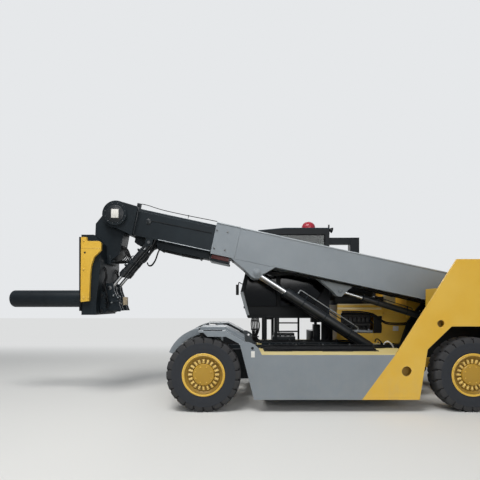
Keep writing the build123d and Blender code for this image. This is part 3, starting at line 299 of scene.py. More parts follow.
# Vinyl film for the blank plates: white, smooth and a little dirty.
white_vinyl = plain_finish("white_vinyl_film", "#DEDCD6", "#C8C5BC", 0.4, bump_mm=0.05)

# Wear pads: cast nylon, dark red-brown with grease on it.
cast_nylon = plain_finish("greased_cast_nylon", "#6A2926", "#3A1C1C", 0.5)

# Lenses, moulded or pressed clear and tinted: work lamps, red dome, tail lamps and amber marker.
lamp_glass = plain_finish("pressed_lamp_glass", "#E2E6E8", "#CDD3D6", 0.1, grain_mm=9, bump_mm=0.6, clear=0.4)
red_dome = plain_finish("moulded_red_lens", "#C23A48", "#A82C3A", 0.3, ior=1.49, grain_mm=14, clear=0.25,
                        milky=0.1)
red_lens = plain_finish("moulded_red_tail_lens", "#A51622", "#8C121D", 0.15, ior=1.49, grain_mm=12, clear=0.2)
# The amber lens is coloured dull tan: painted shade.
amber_lens = plain_finish("amber_lens_painted_in_shade", "#B0A084", "#9E8F78", 0.25, ior=1.49, clear=0.35)

# Tyres: moulded rubber on the walls, scrubbed gray with dust in it on the tread, and near black
# down in the grooves, which is painted shade in the recesses.
tyre_rubber = plain_finish("moulded_black_rubber", "#202226", "#2E3136", 0.66, grain_mm=14, bump_mm=0.6,
                           shine=0.35)
tread_rubber = plain_finish("scrubbed_tread_rubber", "#2A2B2E", "#403F3E", 0.85, grain_mm=18, bump_mm=1.2,
                            shine=0.3)
groove_rubber = plain_finish("groove_rubber_painted_shade", "#0A0A0B", "#121213", 0.8, grain_mm=18, shine=0.2)


def spot(u, y, z):
    """A place given behind the front axle, to the right and above the ground."""
    return Vector((u + FRONT_AXLE_X, y, z))


def around(count, first=0.5):
    """Angles spaced evenly round a circle, the first one a share of the spacing past zero."""
    return [math.tau * (step + first) / count for step in range(count)]


def aside(place, reach):
    """A place moved to the machine's right."""
    return place + Vector((0, reach, 0))


def add_piece(name, data, finish, body):
    """Puts a mesh or a curve into the scene as a piece that rides on a body."""
    finishes = finish if isinstance(finish, tuple) else (finish,)
    for coat in finishes:
        data.materials.append(coat)
    piece = bpy.data.objects.new(name, data)
    scene.collection.objects.link(piece)
    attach(piece, body)
    return piece


def make_piece(name, mesh, finish, body="chassis", bevel=0.0, smooth=35):
    """Turns mesh code into a finished piece; edges sharper than smooth degrees stay sharp."""
    bmesh.ops.remove_doubles(mesh, verts=mesh.verts, dist=1e-5)
    bmesh.ops.dissolve_degenerate(mesh, edges=mesh.edges, dist=1e-6)
    if bevel:
        sharp = [e for e in mesh.edges if len(e.link_faces) == 2 and e.calc_face_angle(0) > 0.6]
        bmesh.ops.bevel(mesh, geom=sharp, offset=bevel, segments=2, affect="EDGES", profile=0.5,
                        clamp_overlap=True)
    bmesh.ops.recalc_face_normals(mesh, faces=mesh.faces)
    for face in mesh.faces:
        face.smooth = True
    for edge in mesh.edges:
        edge.smooth = len(edge.link_faces) == 2 and edge.calc_face_angle(0) < math.radians(smooth)
    data = bpy.data.meshes.new(name)
    mesh.to_mesh(data)
    mesh.free()
    return add_piece(name, data, finish, body)


def pipe(name, places, radius, finish=hose_rubber, body="chassis", order=3):
    """A steel pipe or a clamped hose along a smooth line near its places."""
    line = bpy.data.curves.new(name, "CURVE")
    line.dimensions = "3D"
    line.bevel_depth, line.bevel_resolution, line.resolution_u = radius, 3, 8
    line.use_fill_caps = True
    run = line.splines.new("NURBS")
    run.points.add(len(places) - 1)
    for point, place in zip(run.points, places):
        point.co = (*place, 1)
    run.order_u = order
    run.use_endpoint_u = True
    return add_piece(name, line, finish, body)


def block(mesh, corner, opposite, turn=None):
    """A block between two opposite corners; turn is a matrix for it."""
    made = bmesh.ops.create_cube(mesh, size=1)["verts"]
    size = [abs(b - a) for a, b in zip(corner, opposite)]
    middle = [(a + b) / 2 for a, b in zip(corner, opposite)]
    placing = Matrix.Translation(middle) @ Matrix.Diagonal((*size, 1))
    bmesh.ops.transform(mesh, matrix=(turn or Matrix()) @ placing, verts=made)


def slab(mesh, u0, u1, y0, y1, z0, z1):
    """A block in the machine's measure."""
    block(mesh, spot(u0, y0, z0), spot(u1, y1, z1))


def round_bar(mesh, start, end, radius, steps=24, far_radius=None):
    """A turned bar or cone between two points."""
    start, end = Vector(start), Vector(end)
    made = bmesh.ops.create_cone(mesh, cap_ends=True, segments=steps, radius1=radius,
                                 radius2=radius if far_radius is None else far_radius,
                                 depth=(end - start).length)["verts"]
    aim = (end - start).to_track_quat("Z", "Y").to_matrix().to_4x4()
    bmesh.ops.transform(mesh, matrix=Matrix.Translation((start + end) / 2) @ aim, verts=made)


def hex_bolts(mesh, places, outward, radius=0.015, height=0.012):
    """Hexagon heads on washers, standing outward from their places."""
    outward = Vector(outward).normalized()
    for place in places:
        round_bar(mesh, place, Vector(place) + outward * 0.004, radius * 1.35, 20)
        round_bar(mesh, Vector(place) + outward * 0.003, Vector(place) + outward * height, radius, 6)


def skin(mesh, rings, around=False, closed=True):
    """Faces between neighbouring rings of corners; none where both ends lie on an axis."""
    for here, after in zip(rings, rings[1:] + rings[:1] if around else rings[1:]):
        for index in range(len(here) if closed else len(here) - 1):
            follower = (index + 1) % len(here)
            if here[index].co != after[index].co or here[follower].co != after[follower].co:
                mesh.faces.new((here[index], here[follower], after[follower], after[index]))


def lathe(mesh, profile, steps, place, side):
    """Turns a closed (reach, radius) profile about the axle; reach grows outboard."""
    rings = []
    for angle in around(steps, 0):
        rings.append([mesh.verts.new((place[0] + radius * math.sin(angle), place[1] + side * reach,
                                      place[2] + radius * math.cos(angle))) for reach, radius in profile])
    skin(mesh, rings, around=True)


def side_sheet(mesh, corners, y0, y1, place=spot):
    """A flat sheet cut to corners (along, up), from y0 to y1; place says what they are measured from."""
    near = [mesh.verts.new(place(along, y0, up)) for along, up in corners]
    far = [mesh.verts.new(place(along, y1, up)) for along, up in corners]
    mesh.faces.new(near)
    mesh.faces.new(reversed(far))
    skin(mesh, [near, far])


# Tyres: size 12.00-24, moulded carbon-black rubber on a nylon casing. Deep bars stand on both
# shoulders, half a pitch apart from side to side, and meet in a zigzag over the crown.
TYRE_HALF, AXLE_HEIGHT = 0.160, 0.6125
WHEEL_Y = 1.240
REAR_AXLE_X = FRONT_AXLE_X + 4.390
BARS, STEPS_A_BAR = 22, 12
BAR_SHARE, BAR_SLANT, FLANK = 0.80, 0.35, 0.08
GROOVE_DEEP = 0.024
SHOULDER_REACH, UNDERCUT = 0.14, 0.35
# columns: reach from the tyre's middle, radius, share of the groove's depth
SECTION = (
    (0.1450, 0.3050, 0), (0.1450, 0.3480, 0), (0.1475, 0.3560, 0), (0.1500, 0.3720, 0), (0.1535, 0.3900, 0),
    (0.1530, 0.3960, 0), (0.1565, 0.4150, 0), (0.1590, 0.4400, 0), (0.1600, 0.4700, 0), (0.1585, 0.4980, 0),
    (0.1600, 0.5040, 0), (0.1590, 0.5200, 0), (0.1570, 0.5260, 0.35), (0.1555, 0.5420, 0.6),
    (0.1500, 0.5740, 0.9), (0.1440, 0.5930, 1), (0.1330, 0.6060, 1), (0.1150, 0.6110, 1),
    (0.0850, 0.6125, 1), (0.0560, 0.6125, 1), (0.0440, 0.6125, 0.55), (0.0200, 0.6125, 0.2),
)


def tyre_surface(mesh, place, side):
    """Casing and bars in one skin; the grooves sink where a bar ends."""
    steps = BARS * STEPS_A_BAR
    columns = [(r, rad, share, 1) for r, rad, share in SECTION]
    columns += [(-r, rad, share, -1) for r, rad, share in reversed(SECTION)]
    rings, depths = [], []
    for step in range(steps):
        turn = step / STEPS_A_BAR
        ring, sunks = [], []
        for reach, radius, share, half in columns:
            phase = (turn + (0.5 if half < 0 else 0) + BAR_SLANT * (TYRE_HALF - abs(reach)) / TYRE_HALF) % 1
            edge = min(phase, 1 - phase) * 2
            sunk = 0 if edge > 1 - BAR_SHARE + FLANK else 1 if edge < 1 - BAR_SHARE - FLANK else 0.5
            sunks.append(sunk)
            deep = share * sunk * GROOVE_DEEP
            inward = deep * (UNDERCUT if abs(reach) > SHOULDER_REACH else 0)
            angle = math.tau * step / steps
            r = radius - deep
            ring.append(mesh.verts.new((place[0] + r * math.sin(angle),
                                        place[1] + side * (reach - math.copysign(inward, reach)),
                                        place[2] + r * math.cos(angle))))
        rings.append(ring)
        depths.append(sunks)
    for step in range(steps):
        here, after = rings[step], rings[(step + 1) % steps]
        for index in range(len(columns) - 1):
            face = mesh.faces.new((here[index], here[index + 1], after[index + 1], after[index]))
            crown = columns[index][2] and columns[index + 1][2]
            face.material_index = 0 if not crown else 1 if min(depths[step][index:index + 2]) < 0.6 else 2
        mesh.faces.new((here[-1], here[0], after[0], after[-1]))


WHEELS = [(f"{end}_{hand}", x, -1 if hand == "left" else 1)
          for end, x in (("front", FRONT_AXLE_X), ("rear", REAR_AXLE_X)) for hand in ("left", "right")]
for wheel, x, side in WHEELS:
    body = wheel.replace("_", "_wheel_")
    end, hand = wheel.split("_")
    mesh = bmesh.new()
    tyre_surface(mesh, (x, side * WHEEL_Y, AXLE_HEIGHT), side)
    tyre = make_piece(f"{end}_tyre_bars_{hand}", mesh, (tyre_rubber, tread_rubber, groove_rubber), body,
                      smooth=28)
    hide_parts(f"{end}_tyre_{hand}")


# Rims: rolled and welded steel with a lock ring, a dished disc and a flat hub cover, all in
# golden enamel. Twenty cast clamps stand round the hub and shine where they are rounded.
CLAMPS, CLAMP_BOLT_R = 20, 0.228
# columns: reach, radius, from the inner flange round to the outer one and over the disc
RIM_SECTION = (
    (-0.157, 0.300), (-0.157, 0.349), (-0.1455, 0.349), (-0.1455, 0.3045), (0.1455, 0.3045),
    (0.1455, 0.345), (0.149, 0.351), (0.154, 0.3525), (0.158, 0.348), (0.1592, 0.339), (0.157, 0.331),
    (0.152, 0.327), (0.1505, 0.320), (0.155, 0.315), (0.156, 0.305), (0.150, 0.299), (0.134, 0.294),
    (0.126, 0.286), (0.118, 0.272), (0.098, 0.266), (0.094, 0.262), (0.092, 0.200), (0.098, 0.184),
    (0.122, 0.180), (0.140, 0.176), (0.146, 0.170), (0.148, 0.150), (0.148, 0.0), (-0.040, 0.0),
    (-0.040, 0.151), (0.070, 0.151), (0.070, 0.285), (-0.120, 0.285),
)
for wheel, x, side in WHEELS:
    body = wheel.replace("_", "_wheel_")
    end, hand = wheel.split("_")
    centre = (x, side * WHEEL_Y, AXLE_HEIGHT)
    mesh = bmesh.new()
    lathe(mesh, RIM_SECTION, 96, centre, side)
    for face in mesh.faces:
        middle = face.calc_center_median() - Vector(centre)
        reach = math.hypot(middle.x, middle.z)
        face.material_index = 0 if side * middle.y < 0.085 or reach > 0.312 else 1 if reach < 0.178 else 2
    rim = make_piece(f"{end}_rim_dished_{hand}", mesh, (rim_enamel, hub_enamel, dish_enamel), body)
    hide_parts(f"{end}_rim_{hand}")
    mesh = bmesh.new()
    for angle in around(CLAMPS, 0):
        turn = Matrix.Translation(centre) @ Matrix.Rotation(angle, 4, "Y")
        block(mesh, (-0.018, side * 0.088, 0.186), (0.018, side * 0.132, 0.256), turn)
        round_bar(mesh, turn @ Vector((0, side * 0.120, CLAMP_BOLT_R)),
                  turn @ Vector((0, side * 0.143, CLAMP_BOLT_R)), 0.012, 6)
    make_piece(f"{end}_rim_clamps_{hand}", mesh, clamp_enamel, body, bevel=0.011, smooth=70)
    mesh = bmesh.new()
    for angle in around(8):
        at = Vector(centre) + Vector((0.135 * math.sin(angle), side * 0.146, 0.135 * math.cos(angle)))
        round_bar(mesh, at, aside(at, side * 0.010), 0.011, 6)
    stem = Vector(centre) + Vector((0.19, side * 0.10, 0.20))
    round_bar(mesh, stem, stem + Vector((0.004, side * 0.055, 0.004)), 0.006, 10)
    make_piece(f"{end}_rim_bolts_{hand}", mesh, rim_enamel, body, bevel=0.002)


# Side plates: 30 mm plate cut in one piece from the front fender to the mast wing. The skirt is
# gray and the wing yellow; the paint was masked along a slanting line.
PAINT_LINE = ((2.580, 0.207), (3.133, 0.955))
WING_FROM_U, WING_FROM_Z = 2.2, 0.9375


def behind_paint_line(tree, place):
    """1 behind the masked line of the side plates, 0 ahead of it."""
    (u0, z0), (u1, z1) = PAINT_LINE
    back, up = part_of(tree, place, "X"), part_of(tree, place, "Z")
    line = remap(tree, up, z0, z1, u0 + FRONT_AXLE_X, u1 + FRONT_AXLE_X, clamp=False)
    wing = maths(tree, "MULTIPLY", maths(tree, "GREATER_THAN", back, WING_FROM_U + FRONT_AXLE_X),
                 maths(tree, "GREATER_THAN", up, WING_FROM_Z))
    return maths(tree, "MAXIMUM", maths(tree, "GREATER_THAN", back, line), wing)


masked_enamel = sprayed_enamel("gray_and_yellow_masked_enamel", GRAY, GRAY_OLD, "#B9BEC1",
                               second=(YELLOW, YELLOW_OLD), mask=behind_paint_line, dust=0.28)
dress(masked_enamel, "side_plate_left", "side_plate_right")

# The two lifting pockets in each wing: pressed cups welded behind their holes.
mesh = bmesh.new()
for side in (-1, 1):
    for u, z, radius in ((3.309, 0.671, 0.081), (3.865, 1.448, 0.058)):
        at = spot(u, side * 1.364, z)
        lathe(mesh, ((-0.070, 0.0), (-0.070, radius + 0.004), (0.0, radius + 0.004), (0.0, radius + 0.012),
                     (-0.078, radius + 0.012), (-0.078, 0.0)), 48, at, side)
# The pockets take the dish's dark gold: painted shade inside the holes.
make_piece("wing_pockets", mesh, dish_enamel)


# The chassis and its running gear: welded plate, painted with the machine and dulled by grease.
dress(black_enamel, "chassis_frame", "side_tanks", "knuckle_left", "knuckle_right")
# The deck's yellow is trodden dusty and also lightened: painted sunlight on its near strip.
dress(deck_enamel, "deck_plates")
dress(yellow_enamel, "counterweight", "hydraulic_tank", "radiator_box", "rear_axle", "front_axle")
dress(turned_steel, "boom_pivot_pin", "head_pin", "cylinder_base_pins", "tilt_base_pins")


# Front fenders: bent sheet over each front wheel, with a black rubber mat strip along the outer
# edge where the driver's helper steps, a row of cap bolts and a plain plate on the skirt.
SKIRT_Y = 1.395
MAT_U, MAT_Y, MAT_Z, MAT_RIBS = (-0.006, 0.303), (1.300, 1.362), 1.329, 12
dress(gray_enamel, "front_fenders")
GUARD_UP, GUARD_OUT_R, GUARD_IN_R, GUARD_WALL_R = 0.690, 0.670, 0.660, 0.560
GUARD_STEPS, GUARD_TURN = 24, (10, 68)
GUARD_Y, GUARD_WALL = (0.430, 1.060), 0.008
mesh = bmesh.new()
for side in (-1, 1):
    for y0, y1, r0, r1 in ((*GUARD_Y, GUARD_IN_R, GUARD_OUT_R),
                           (GUARD_Y[1] - GUARD_WALL, GUARD_Y[1], GUARD_WALL_R, GUARD_IN_R)):
        rings = []
        for step in range(GUARD_STEPS + 1):
            turn = math.radians(GUARD_TURN[0] + (GUARD_TURN[1] - GUARD_TURN[0]) * step / GUARD_STEPS)
            rings.append([mesh.verts.new(spot(-r * math.sin(turn), side * y, GUARD_UP + r * math.cos(turn)))
                          for y, r in ((y0, r0), (y1, r0), (y1, r1), (y0, r1))])
        skin(mesh, rings)
        mesh.faces.new(rings[0])
        mesh.faces.new(reversed(rings[-1]))
guards = make_piece("mudguard_sheets", mesh, gray_enamel)
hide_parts("front_mudguards")
for side, hand in ((-1, "left"), (1, "right")):
    mesh = bmesh.new()
    slab(mesh, *MAT_U, side * MAT_Y[0], side * MAT_Y[1], MAT_Z, MAT_Z + 0.010)
    for index in range(MAT_RIBS):
        u = MAT_U[0] + (index + 0.5) * (MAT_U[1] - MAT_U[0]) / MAT_RIBS
        slab(mesh, u - 0.006, u + 0.006, side * (MAT_Y[0] + 0.004), side * (MAT_Y[1] - 0.004),
             MAT_Z + 0.009, MAT_Z + 0.014)
    make_piece(f"fender_mat_{hand}", mesh, hose_rubber, bevel=0.002)
    mesh = bmesh.new()
    for y, z, row in ((1.08, 1.3285, (-0.05, 0.12, 0.29)), (1.26, 1.3285, (-0.05,)),
                      (0.50, 1.3735, (0.02, 0.18, 0.32))):
        hex_bolts(mesh, [spot(u, side * y, z) for u in row], (0, 0, 1), 0.011, 0.009)
    make_piece(f"fender_bolts_{hand}", mesh, zinc_plate, bevel=0.001)
    mesh = bmesh.new()
    slab(mesh, 0.777, 0.837, side * (SKIRT_Y - 0.001), side * (SKIRT_Y + 0.0025), 0.900, 1.000)
    make_piece(f"skirt_plate_{hand}", mesh, white_vinyl, bevel=0.001)


# Frame plates carry the hydraulic runs: pipes in clamps, cable trays, hoses and the valve blocks
# between the plates. The hoses lie on black rubber mats that are painted shade, the boom's shadow
# on the inner deck; from outside they read as one dark band over the deck.
CLAMP_U = (1.15, 1.65, 2.15, 2.65, 3.10)
DECK_TOP = 0.9365
for side, hand in ((-1, "left"), (1, "right")):
    for row, (y, z, radius) in enumerate(((0.430, 0.960, 0.016), (0.470, 0.960, 0.016),
                                          (0.445, 0.995, 0.013))):
        pipe(f"deck_pipe_{hand}_{row}", [spot(u, side * (y - inward), z + rise) for u, inward, rise in (
            (0.98, 0, -0.04), (1.02, 0, 0), (2.0, 0, 0.004), (3.0, 0, 0), (3.24, 0, 0), (3.30, 0.05, -0.01),
            (3.34, 0.06, -0.02))], radius)
    mesh = bmesh.new()
    for u in CLAMP_U:
        slab(mesh, u - 0.02, u + 0.02, side * 0.406, side * 0.495, 0.9365, 1.016)
    make_piece(f"pipe_clamps_{hand}", mesh, moulded_abs, bevel=0.004)
    mesh = bmesh.new()
    hex_bolts(mesh, [spot(u, side * 0.48, 1.015) for u in CLAMP_U], (0, 0, 1), 0.009, 0.008)
    make_piece(f"clamp_bolts_{hand}", mesh, zinc_plate, bevel=0.001)
    # Black mats on the inner deck: painted shade of the boom's shadow.
    mesh = bmesh.new()
    for u0, u1, reach in ((1.02, 1.52, 0.93), (1.53, 2.03, 0.90), (2.04, 2.58, 0.94), (2.59, 3.04, 0.91)):
        slab(mesh, u0, u1, side * 0.500, side * reach, DECK_TOP, DECK_TOP + 0.012)
    make_piece(f"deck_painted_shade_mats_{hand}", mesh, hose_rubber, bevel=0.003)
    for row, (reach, sway, radius) in enumerate(((0.560, 0.02, 0.017), (0.640, 0.05, 0.013),
                                                 (0.720, -0.03, 0.015), (0.820, 0.04, 0.012))):
        pipe(f"deck_hose_{hand}_{row}", [
            spot(u, side * (reach + sway * way), DECK_TOP + 0.012 + radius) for u, way in (
                (1.06, 0), (1.30, 1), (1.62, -1), (2.00, 0.6), (2.40, -0.8), (2.75, 0.7),
                (3.02, -0.2))], radius)
mesh = bmesh.new()
for u0, u1, y0, y1, z0, z1 in (
        (1.22, 1.92, -0.368, -0.302, 0.80, 0.985), (2.05, 2.55, -0.368, -0.302, 0.86, 0.975),
        (1.30, 1.78, 0.500, 0.760, 0.9365, 1.075), (2.66, 3.05, -0.368, -0.302, 0.84, 0.960)):
    slab(mesh, u0, u1, y0, y1, z0, z1)
    for step in range(int((u1 - u0) / 0.11)):
        u = u0 + 0.06 + 0.11 * step
        round_bar(mesh, spot(u, (y0 + y1) / 2, z1 - 0.002), spot(u, (y0 + y1) / 2, z1 + 0.035), 0.018, 16)
make_piece("valve_blocks", mesh, black_enamel, bevel=0.004)
mesh = bmesh.new()
for side in (-1, 1):
    slab(mesh, 1.05, 3.20, side * 0.372, side * 0.395, 0.916, 0.968)
make_piece("cable_trays", mesh, black_enamel, bevel=0.003)

# Outer boom: a box welded from four plates; the top plate stands proud of the webs as a lip in
# pale gray, partly rubbed by boots and partly painted highlight where its edge catches the sun.
# A bolted collar at its mouth holds the wear pads. Gray enamel.
BOOM_PIVOT = spot(4.850, 0, 2.013)
BOOM_TURN = Matrix.Translation(BOOM_PIVOT) @ Matrix.Rotation(math.radians(12.2), 4, "Y")
BOOM_HALF, COLLAR_FRONT, COLLAR_REAR, BOOM_TAIL = 0.300, 4.870, 4.400, -0.200
LIFT_PIN, LEVEL_PIN = (3.919, -0.478), (2.223, -0.458)
dress(gray_enamel, "outer_boom")


def boom_spot(s, y, t):
    """A place s ahead of the boom's pivot and t above its axis."""
    return BOOM_TURN @ Vector((-s, y, t))


def boom_block(mesh, s0, s1, y0, y1, t0, t1):
    """A block in the boom's own measure."""
    return block(mesh, (-s1, y0, t0), (-s0, y1, t1), BOOM_TURN)


mesh = bmesh.new()
for side in (-1, 1):
    for s0, s1, proud, t0, t1 in ((BOOM_TAIL, 3.62, -0.004, 0.284, 0.304),
                                  (3.60, COLLAR_REAR - 0.004, -0.004, 0.287, 0.308),
                                  (COLLAR_REAR + 0.004, COLLAR_FRONT - 0.004, 0.002, 0.292, 0.312)):
        reach = BOOM_HALF + proud
        boom_block(mesh, s0, s1, side * reach, side * (reach + 0.016), t0, t1)
make_piece("boom_top_lips", mesh, lip_enamel, "boom", bevel=0.004)

mesh = bmesh.new()
for side in (-1, 1):
    for s, t in ((4.84, 0.155), (4.63, 0.165), (4.82, -0.190), (4.61, -0.185)):
        hex_bolts(mesh, [boom_spot(s, side * 0.306, t)], (0, side, 0), 0.014, 0.014)
    for angle in around(6, 0):
        s, t = LIFT_PIN[0] + 0.055 * math.cos(angle), LIFT_PIN[1] + 0.055 * math.sin(angle)
        hex_bolts(mesh, [boom_spot(s, side * 0.3145, t)], (0, side, 0), 0.009, 0.010)
make_piece("boom_bolts", mesh, turned_steel, "boom", bevel=0.001)

# Weld beads: one pass of arc weld left under the paint wherever two plates meet.
for side, hand in ((-1, "left"), (1, "right")):
    for row, (start, end, t, y) in enumerate((
            (BOOM_TAIL + 0.02, COLLAR_REAR, -0.298, 0.3005), (COLLAR_REAR, COLLAR_REAR + 0.003, 0.28, 0.3035),
            (2.43, 2.74, -0.303, 0.094), (3.70, 4.47, -0.303, 0.3005))):
        far_t = -t if row == 1 else t
        pipe(f"boom_weld_{hand}_{row}", [boom_spot(start, side * y, t), boom_spot(end, side * y, far_t)],
             0.005, gray_enamel, "boom", order=2)

# Pins of the lift and levelling rods: painted caps over their ends, each with a grease nipple.
mesh = bmesh.new()
for side in (-1, 1):
    for (s, t), reach, radius in ((LIFT_PIN, 0.314, 0.046), (LEVEL_PIN, 0.095, 0.034)):
        at = boom_spot(s, side * reach, t)
        round_bar(mesh, at, aside(at, side * 0.007), radius * 1.6, 40)
        round_bar(mesh, at, aside(at, side * 0.014), radius, 32)
        nipple = aside(at, side * 0.013)
        round_bar(mesh, nipple, aside(nipple, side * 0.012), 0.006, 10)
make_piece("boom_pin_caps", mesh, gray_enamel, "boom", bevel=0.002)

# Wear pads at the collar: greased red-brown nylon, closed in below and ahead by a folded cover.
mesh = bmesh.new()
for side in (-1, 1):
    boom_block(mesh, 4.500, 4.842, side * 0.200, side * 0.236, -0.385, -0.307)
make_piece("collar_pads", mesh, cast_nylon, "boom", bevel=0.003)
mesh = bmesh.new()
for side in (-1, 1):
    boom_block(mesh, 4.475, 4.862, side * 0.200, side * 0.228, -0.432, -0.387)
boom_block(mesh, 4.852, 4.868, -0.215, 0.215, -0.430, -0.309)
make_piece("collar_pad_cover", mesh, black_enamel, "boom", bevel=0.003)

# Hoses under the boom: they leave the collar, sag behind the lift lugs and run on in clips.
for row, y in enumerate((-0.165, -0.140, 0.140, 0.165)):
    sag = 0.35 + 0.04 * (row % 2)
    pipe(f"boom_underside_hose_{row}", [boom_spot(s, y * share, t) for s, share, t in (
        (4.44, 1, -0.330), (4.26, 0.9, -0.330), (4.02, 0.42, -0.332), (3.80, 0.4, -sag),
        (3.60, 0.4, -sag - 0.05), (3.42, 0.42, -sag), (3.20, 0.9, -0.328), (3.00, 1, -0.322),
        (2.2, 1, -0.320), (1.2, 1, -0.320), (0.55, 1, -0.320), (0.40, 1, -0.335), (0.30, 1, -0.330))],
         0.014, body="boom")
mesh = bmesh.new()
for s in (4.40, 3.12, 2.85, 1.85, 1.50, 1.10, 0.75):
    for side in (-1, 1):
        boom_block(mesh, s - 0.02, s + 0.02, side * 0.115, side * 0.195, -0.338, -0.300)
make_piece("boom_hose_clips", mesh, black_enamel, "boom", bevel=0.003)


# Inner boom: the same box a size smaller, black, its top edges folded. A port ring and a sensor
# line lie on each side, a cable runs over its top past a little stand, and hoses lie below.
dress(black_enamel, "inner_boom")
INNER_HALF = 0.265
PORT = (6.171, 0.047)
CABLE_RUN = ((6.44, 0.370), (6.32, 0.382), (6.10, 0.352), (5.90, 0.342), (5.46, 0.342), (5.10, 0.350),
             (4.93, 0.352), (4.885, 0.350))
mesh = bmesh.new()
for side in (-1, 1):
    at = boom_spot(PORT[0], side * (INNER_HALF - 0.001), PORT[1])
    round_bar(mesh, at, aside(at, side * 0.012), 0.052, 40)
    round_bar(mesh, aside(at, side * 0.010), aside(at, side * 0.020), 0.034, 36)
    hex_bolts(mesh, [at + Vector((0.040 * math.cos(a), side * 0.012, 0.040 * math.sin(a)))
                     for a in (0.6, 2.2, 3.8, 5.4)], (0, side, 0), 0.006, 0.006)
boom_block(mesh, 5.452, 5.460, -0.154, -0.146, 0.266, 0.340)
boom_block(mesh, 5.444, 5.468, -0.162, -0.138, 0.330, 0.356)
make_piece("inner_boom_fittings", mesh, barrel_enamel, "inner_section", bevel=0.002)
pipe("inner_boom_top_cable", [boom_spot(s, -0.150, t) for s, t in CABLE_RUN], 0.007, body="inner_section")
for side, hand in ((-1, "left"), (1, "right")):
    pipe(f"inner_boom_sensor_line_{hand}", [boom_spot(s, side * y, t) for s, y, t in (
        (6.14, 0.272, 0.050), (6.11, 0.272, 0.062), (6.06, 0.271, 0.076), (5.50, 0.271, 0.080),
        (4.93, 0.271, 0.088))], 0.006, body="inner_section")
for row, y in enumerate((-0.110, -0.070, 0.070, 0.110)):
    pipe(f"inner_boom_tray_hose_{row}", [boom_spot(s, y, t) for s, t in (
        (4.95, -0.385), (5.10, -0.424), (5.40, -0.426), (5.70, -0.424), (5.92, -0.415), (6.02, -0.365),
        (6.06, -0.320), (6.14, -0.296), (6.22, -0.284), (6.27, -0.262))], 0.013, body="inner_section")
mesh = bmesh.new()
for s in (5.06, 5.45, 5.84):
    boom_block(mesh, s - 0.015, s + 0.015, -0.15, 0.15, -0.442, -0.406)
make_piece("tray_hose_clips", mesh, black_enamel, "inner_section", bevel=0.002)

# Slide strips: pale gray along the inner boom's top and bottom edges, partly rubbed by the collar's pads and
# partly painted highlight.
mesh = bmesh.new()
for side in (-1, 1):
    boom_block(mesh, 4.88, 5.92, side * 0.2640, side * 0.2674, -0.262, -0.250)
    boom_block(mesh, 4.88, 6.34, side * 0.2640, side * 0.2674, 0.252, 0.258)
make_piece("inner_boom_slide_strips", mesh, lip_enamel, "inner_section")
mesh = bmesh.new()
NOSE_PLATE = ((6.40, -0.262), (5.97, -0.262), (5.97, -0.330), (6.04, -0.385), (6.20, -0.390), (6.32, -0.420),
              (6.40, -0.380))
for y0, y1 in ((-0.100, -0.080), (0.080, 0.100)):
    side_sheet(mesh, NOSE_PLATE, y0, y1, boom_spot)
make_piece("nose_plates", mesh, black_enamel, "inner_section", bevel=0.003)

# The tilt cylinders' supply hoses hang from the nose in short loops beside the barrels.
for row, (y, slack) in enumerate(((-0.270, 0.30), (-0.294, 0.25), (0.270, 0.30), (0.294, 0.25))):
    places = [boom_spot(5.96, y * 0.9, -0.262), boom_spot(5.97, y, -0.330)]
    places += [spot(u, y, z) for u, z in (
        (-1.110, 2.840), (-1.150, 2.710), (-1.190, 2.600 + slack / 9), (-1.250, 2.520 + slack / 7),
        (-1.320, 2.530 + slack / 7), (-1.330, 2.600 + slack / 9))]
    pipe(f"tilt_supply_hose_{row}", places, 0.012, body="inner_section")


# Boom head: steel casting with a machined ring round the tilt pin; a blank plate is riveted on
# at the middle, and the ring's bolts stand in a circle.
dress(black_enamel, "boom_head")
HEAD = boom_spot(6.804, 0, 0.047)
HEAD_FACE = 0.350


def from_head(x, y, z):
    """A place measured from the tilt pin in the boom's head."""
    return HEAD + Vector((x, y, z))


mesh = bmesh.new()
for side in (-1, 1):
    at = from_head(0, side * (HEAD_FACE - 0.001), 0)
    out_to = Vector((0, side, 0))
    round_bar(mesh, at, at + out_to * 0.008, 0.165, 64)
    round_bar(mesh, at + out_to * 0.007, at + out_to * 0.014, 0.120, 56)
    hex_bolts(mesh, [at + Vector((0.195 * math.cos(a), 0, 0.195 * math.sin(a))) for a in around(12)],
              out_to, 0.010, 0.011)
    boom_block(mesh, 6.385, 6.405, side * 0.3095, side * 0.316, -0.255, 0.255)
boom_block(mesh, 6.400, 6.490, -0.158, -0.146, 0.275, 0.378)
boom_block(mesh, 6.385, 6.520, -0.185, -0.115, 0.268, 0.280)
make_piece("boom_head_rings", mesh, barrel_enamel, "inner_section", bevel=0.003)
mesh = bmesh.new()
for side in (-1, 1):
    block(mesh, from_head(-0.070, side * (HEAD_FACE + 0.012), -0.083),
          from_head(0.070, side * (HEAD_FACE + 0.016), 0.083))
make_piece("boom_head_plate", mesh, white_vinyl, "inner_section", bevel=0.001)
mesh = bmesh.new()
for side in (-1, 1):
    for x, z in ((-0.060, -0.073), (0.060, -0.073), (-0.060, 0.073), (0.060, 0.073)):
        at = from_head(x, side * (HEAD_FACE + 0.015), z)
        round_bar(mesh, at, aside(at, side * 0.004), 0.005, 12)
make_piece("boom_head_plate_rivets", mesh, zinc_plate, "inner_section")

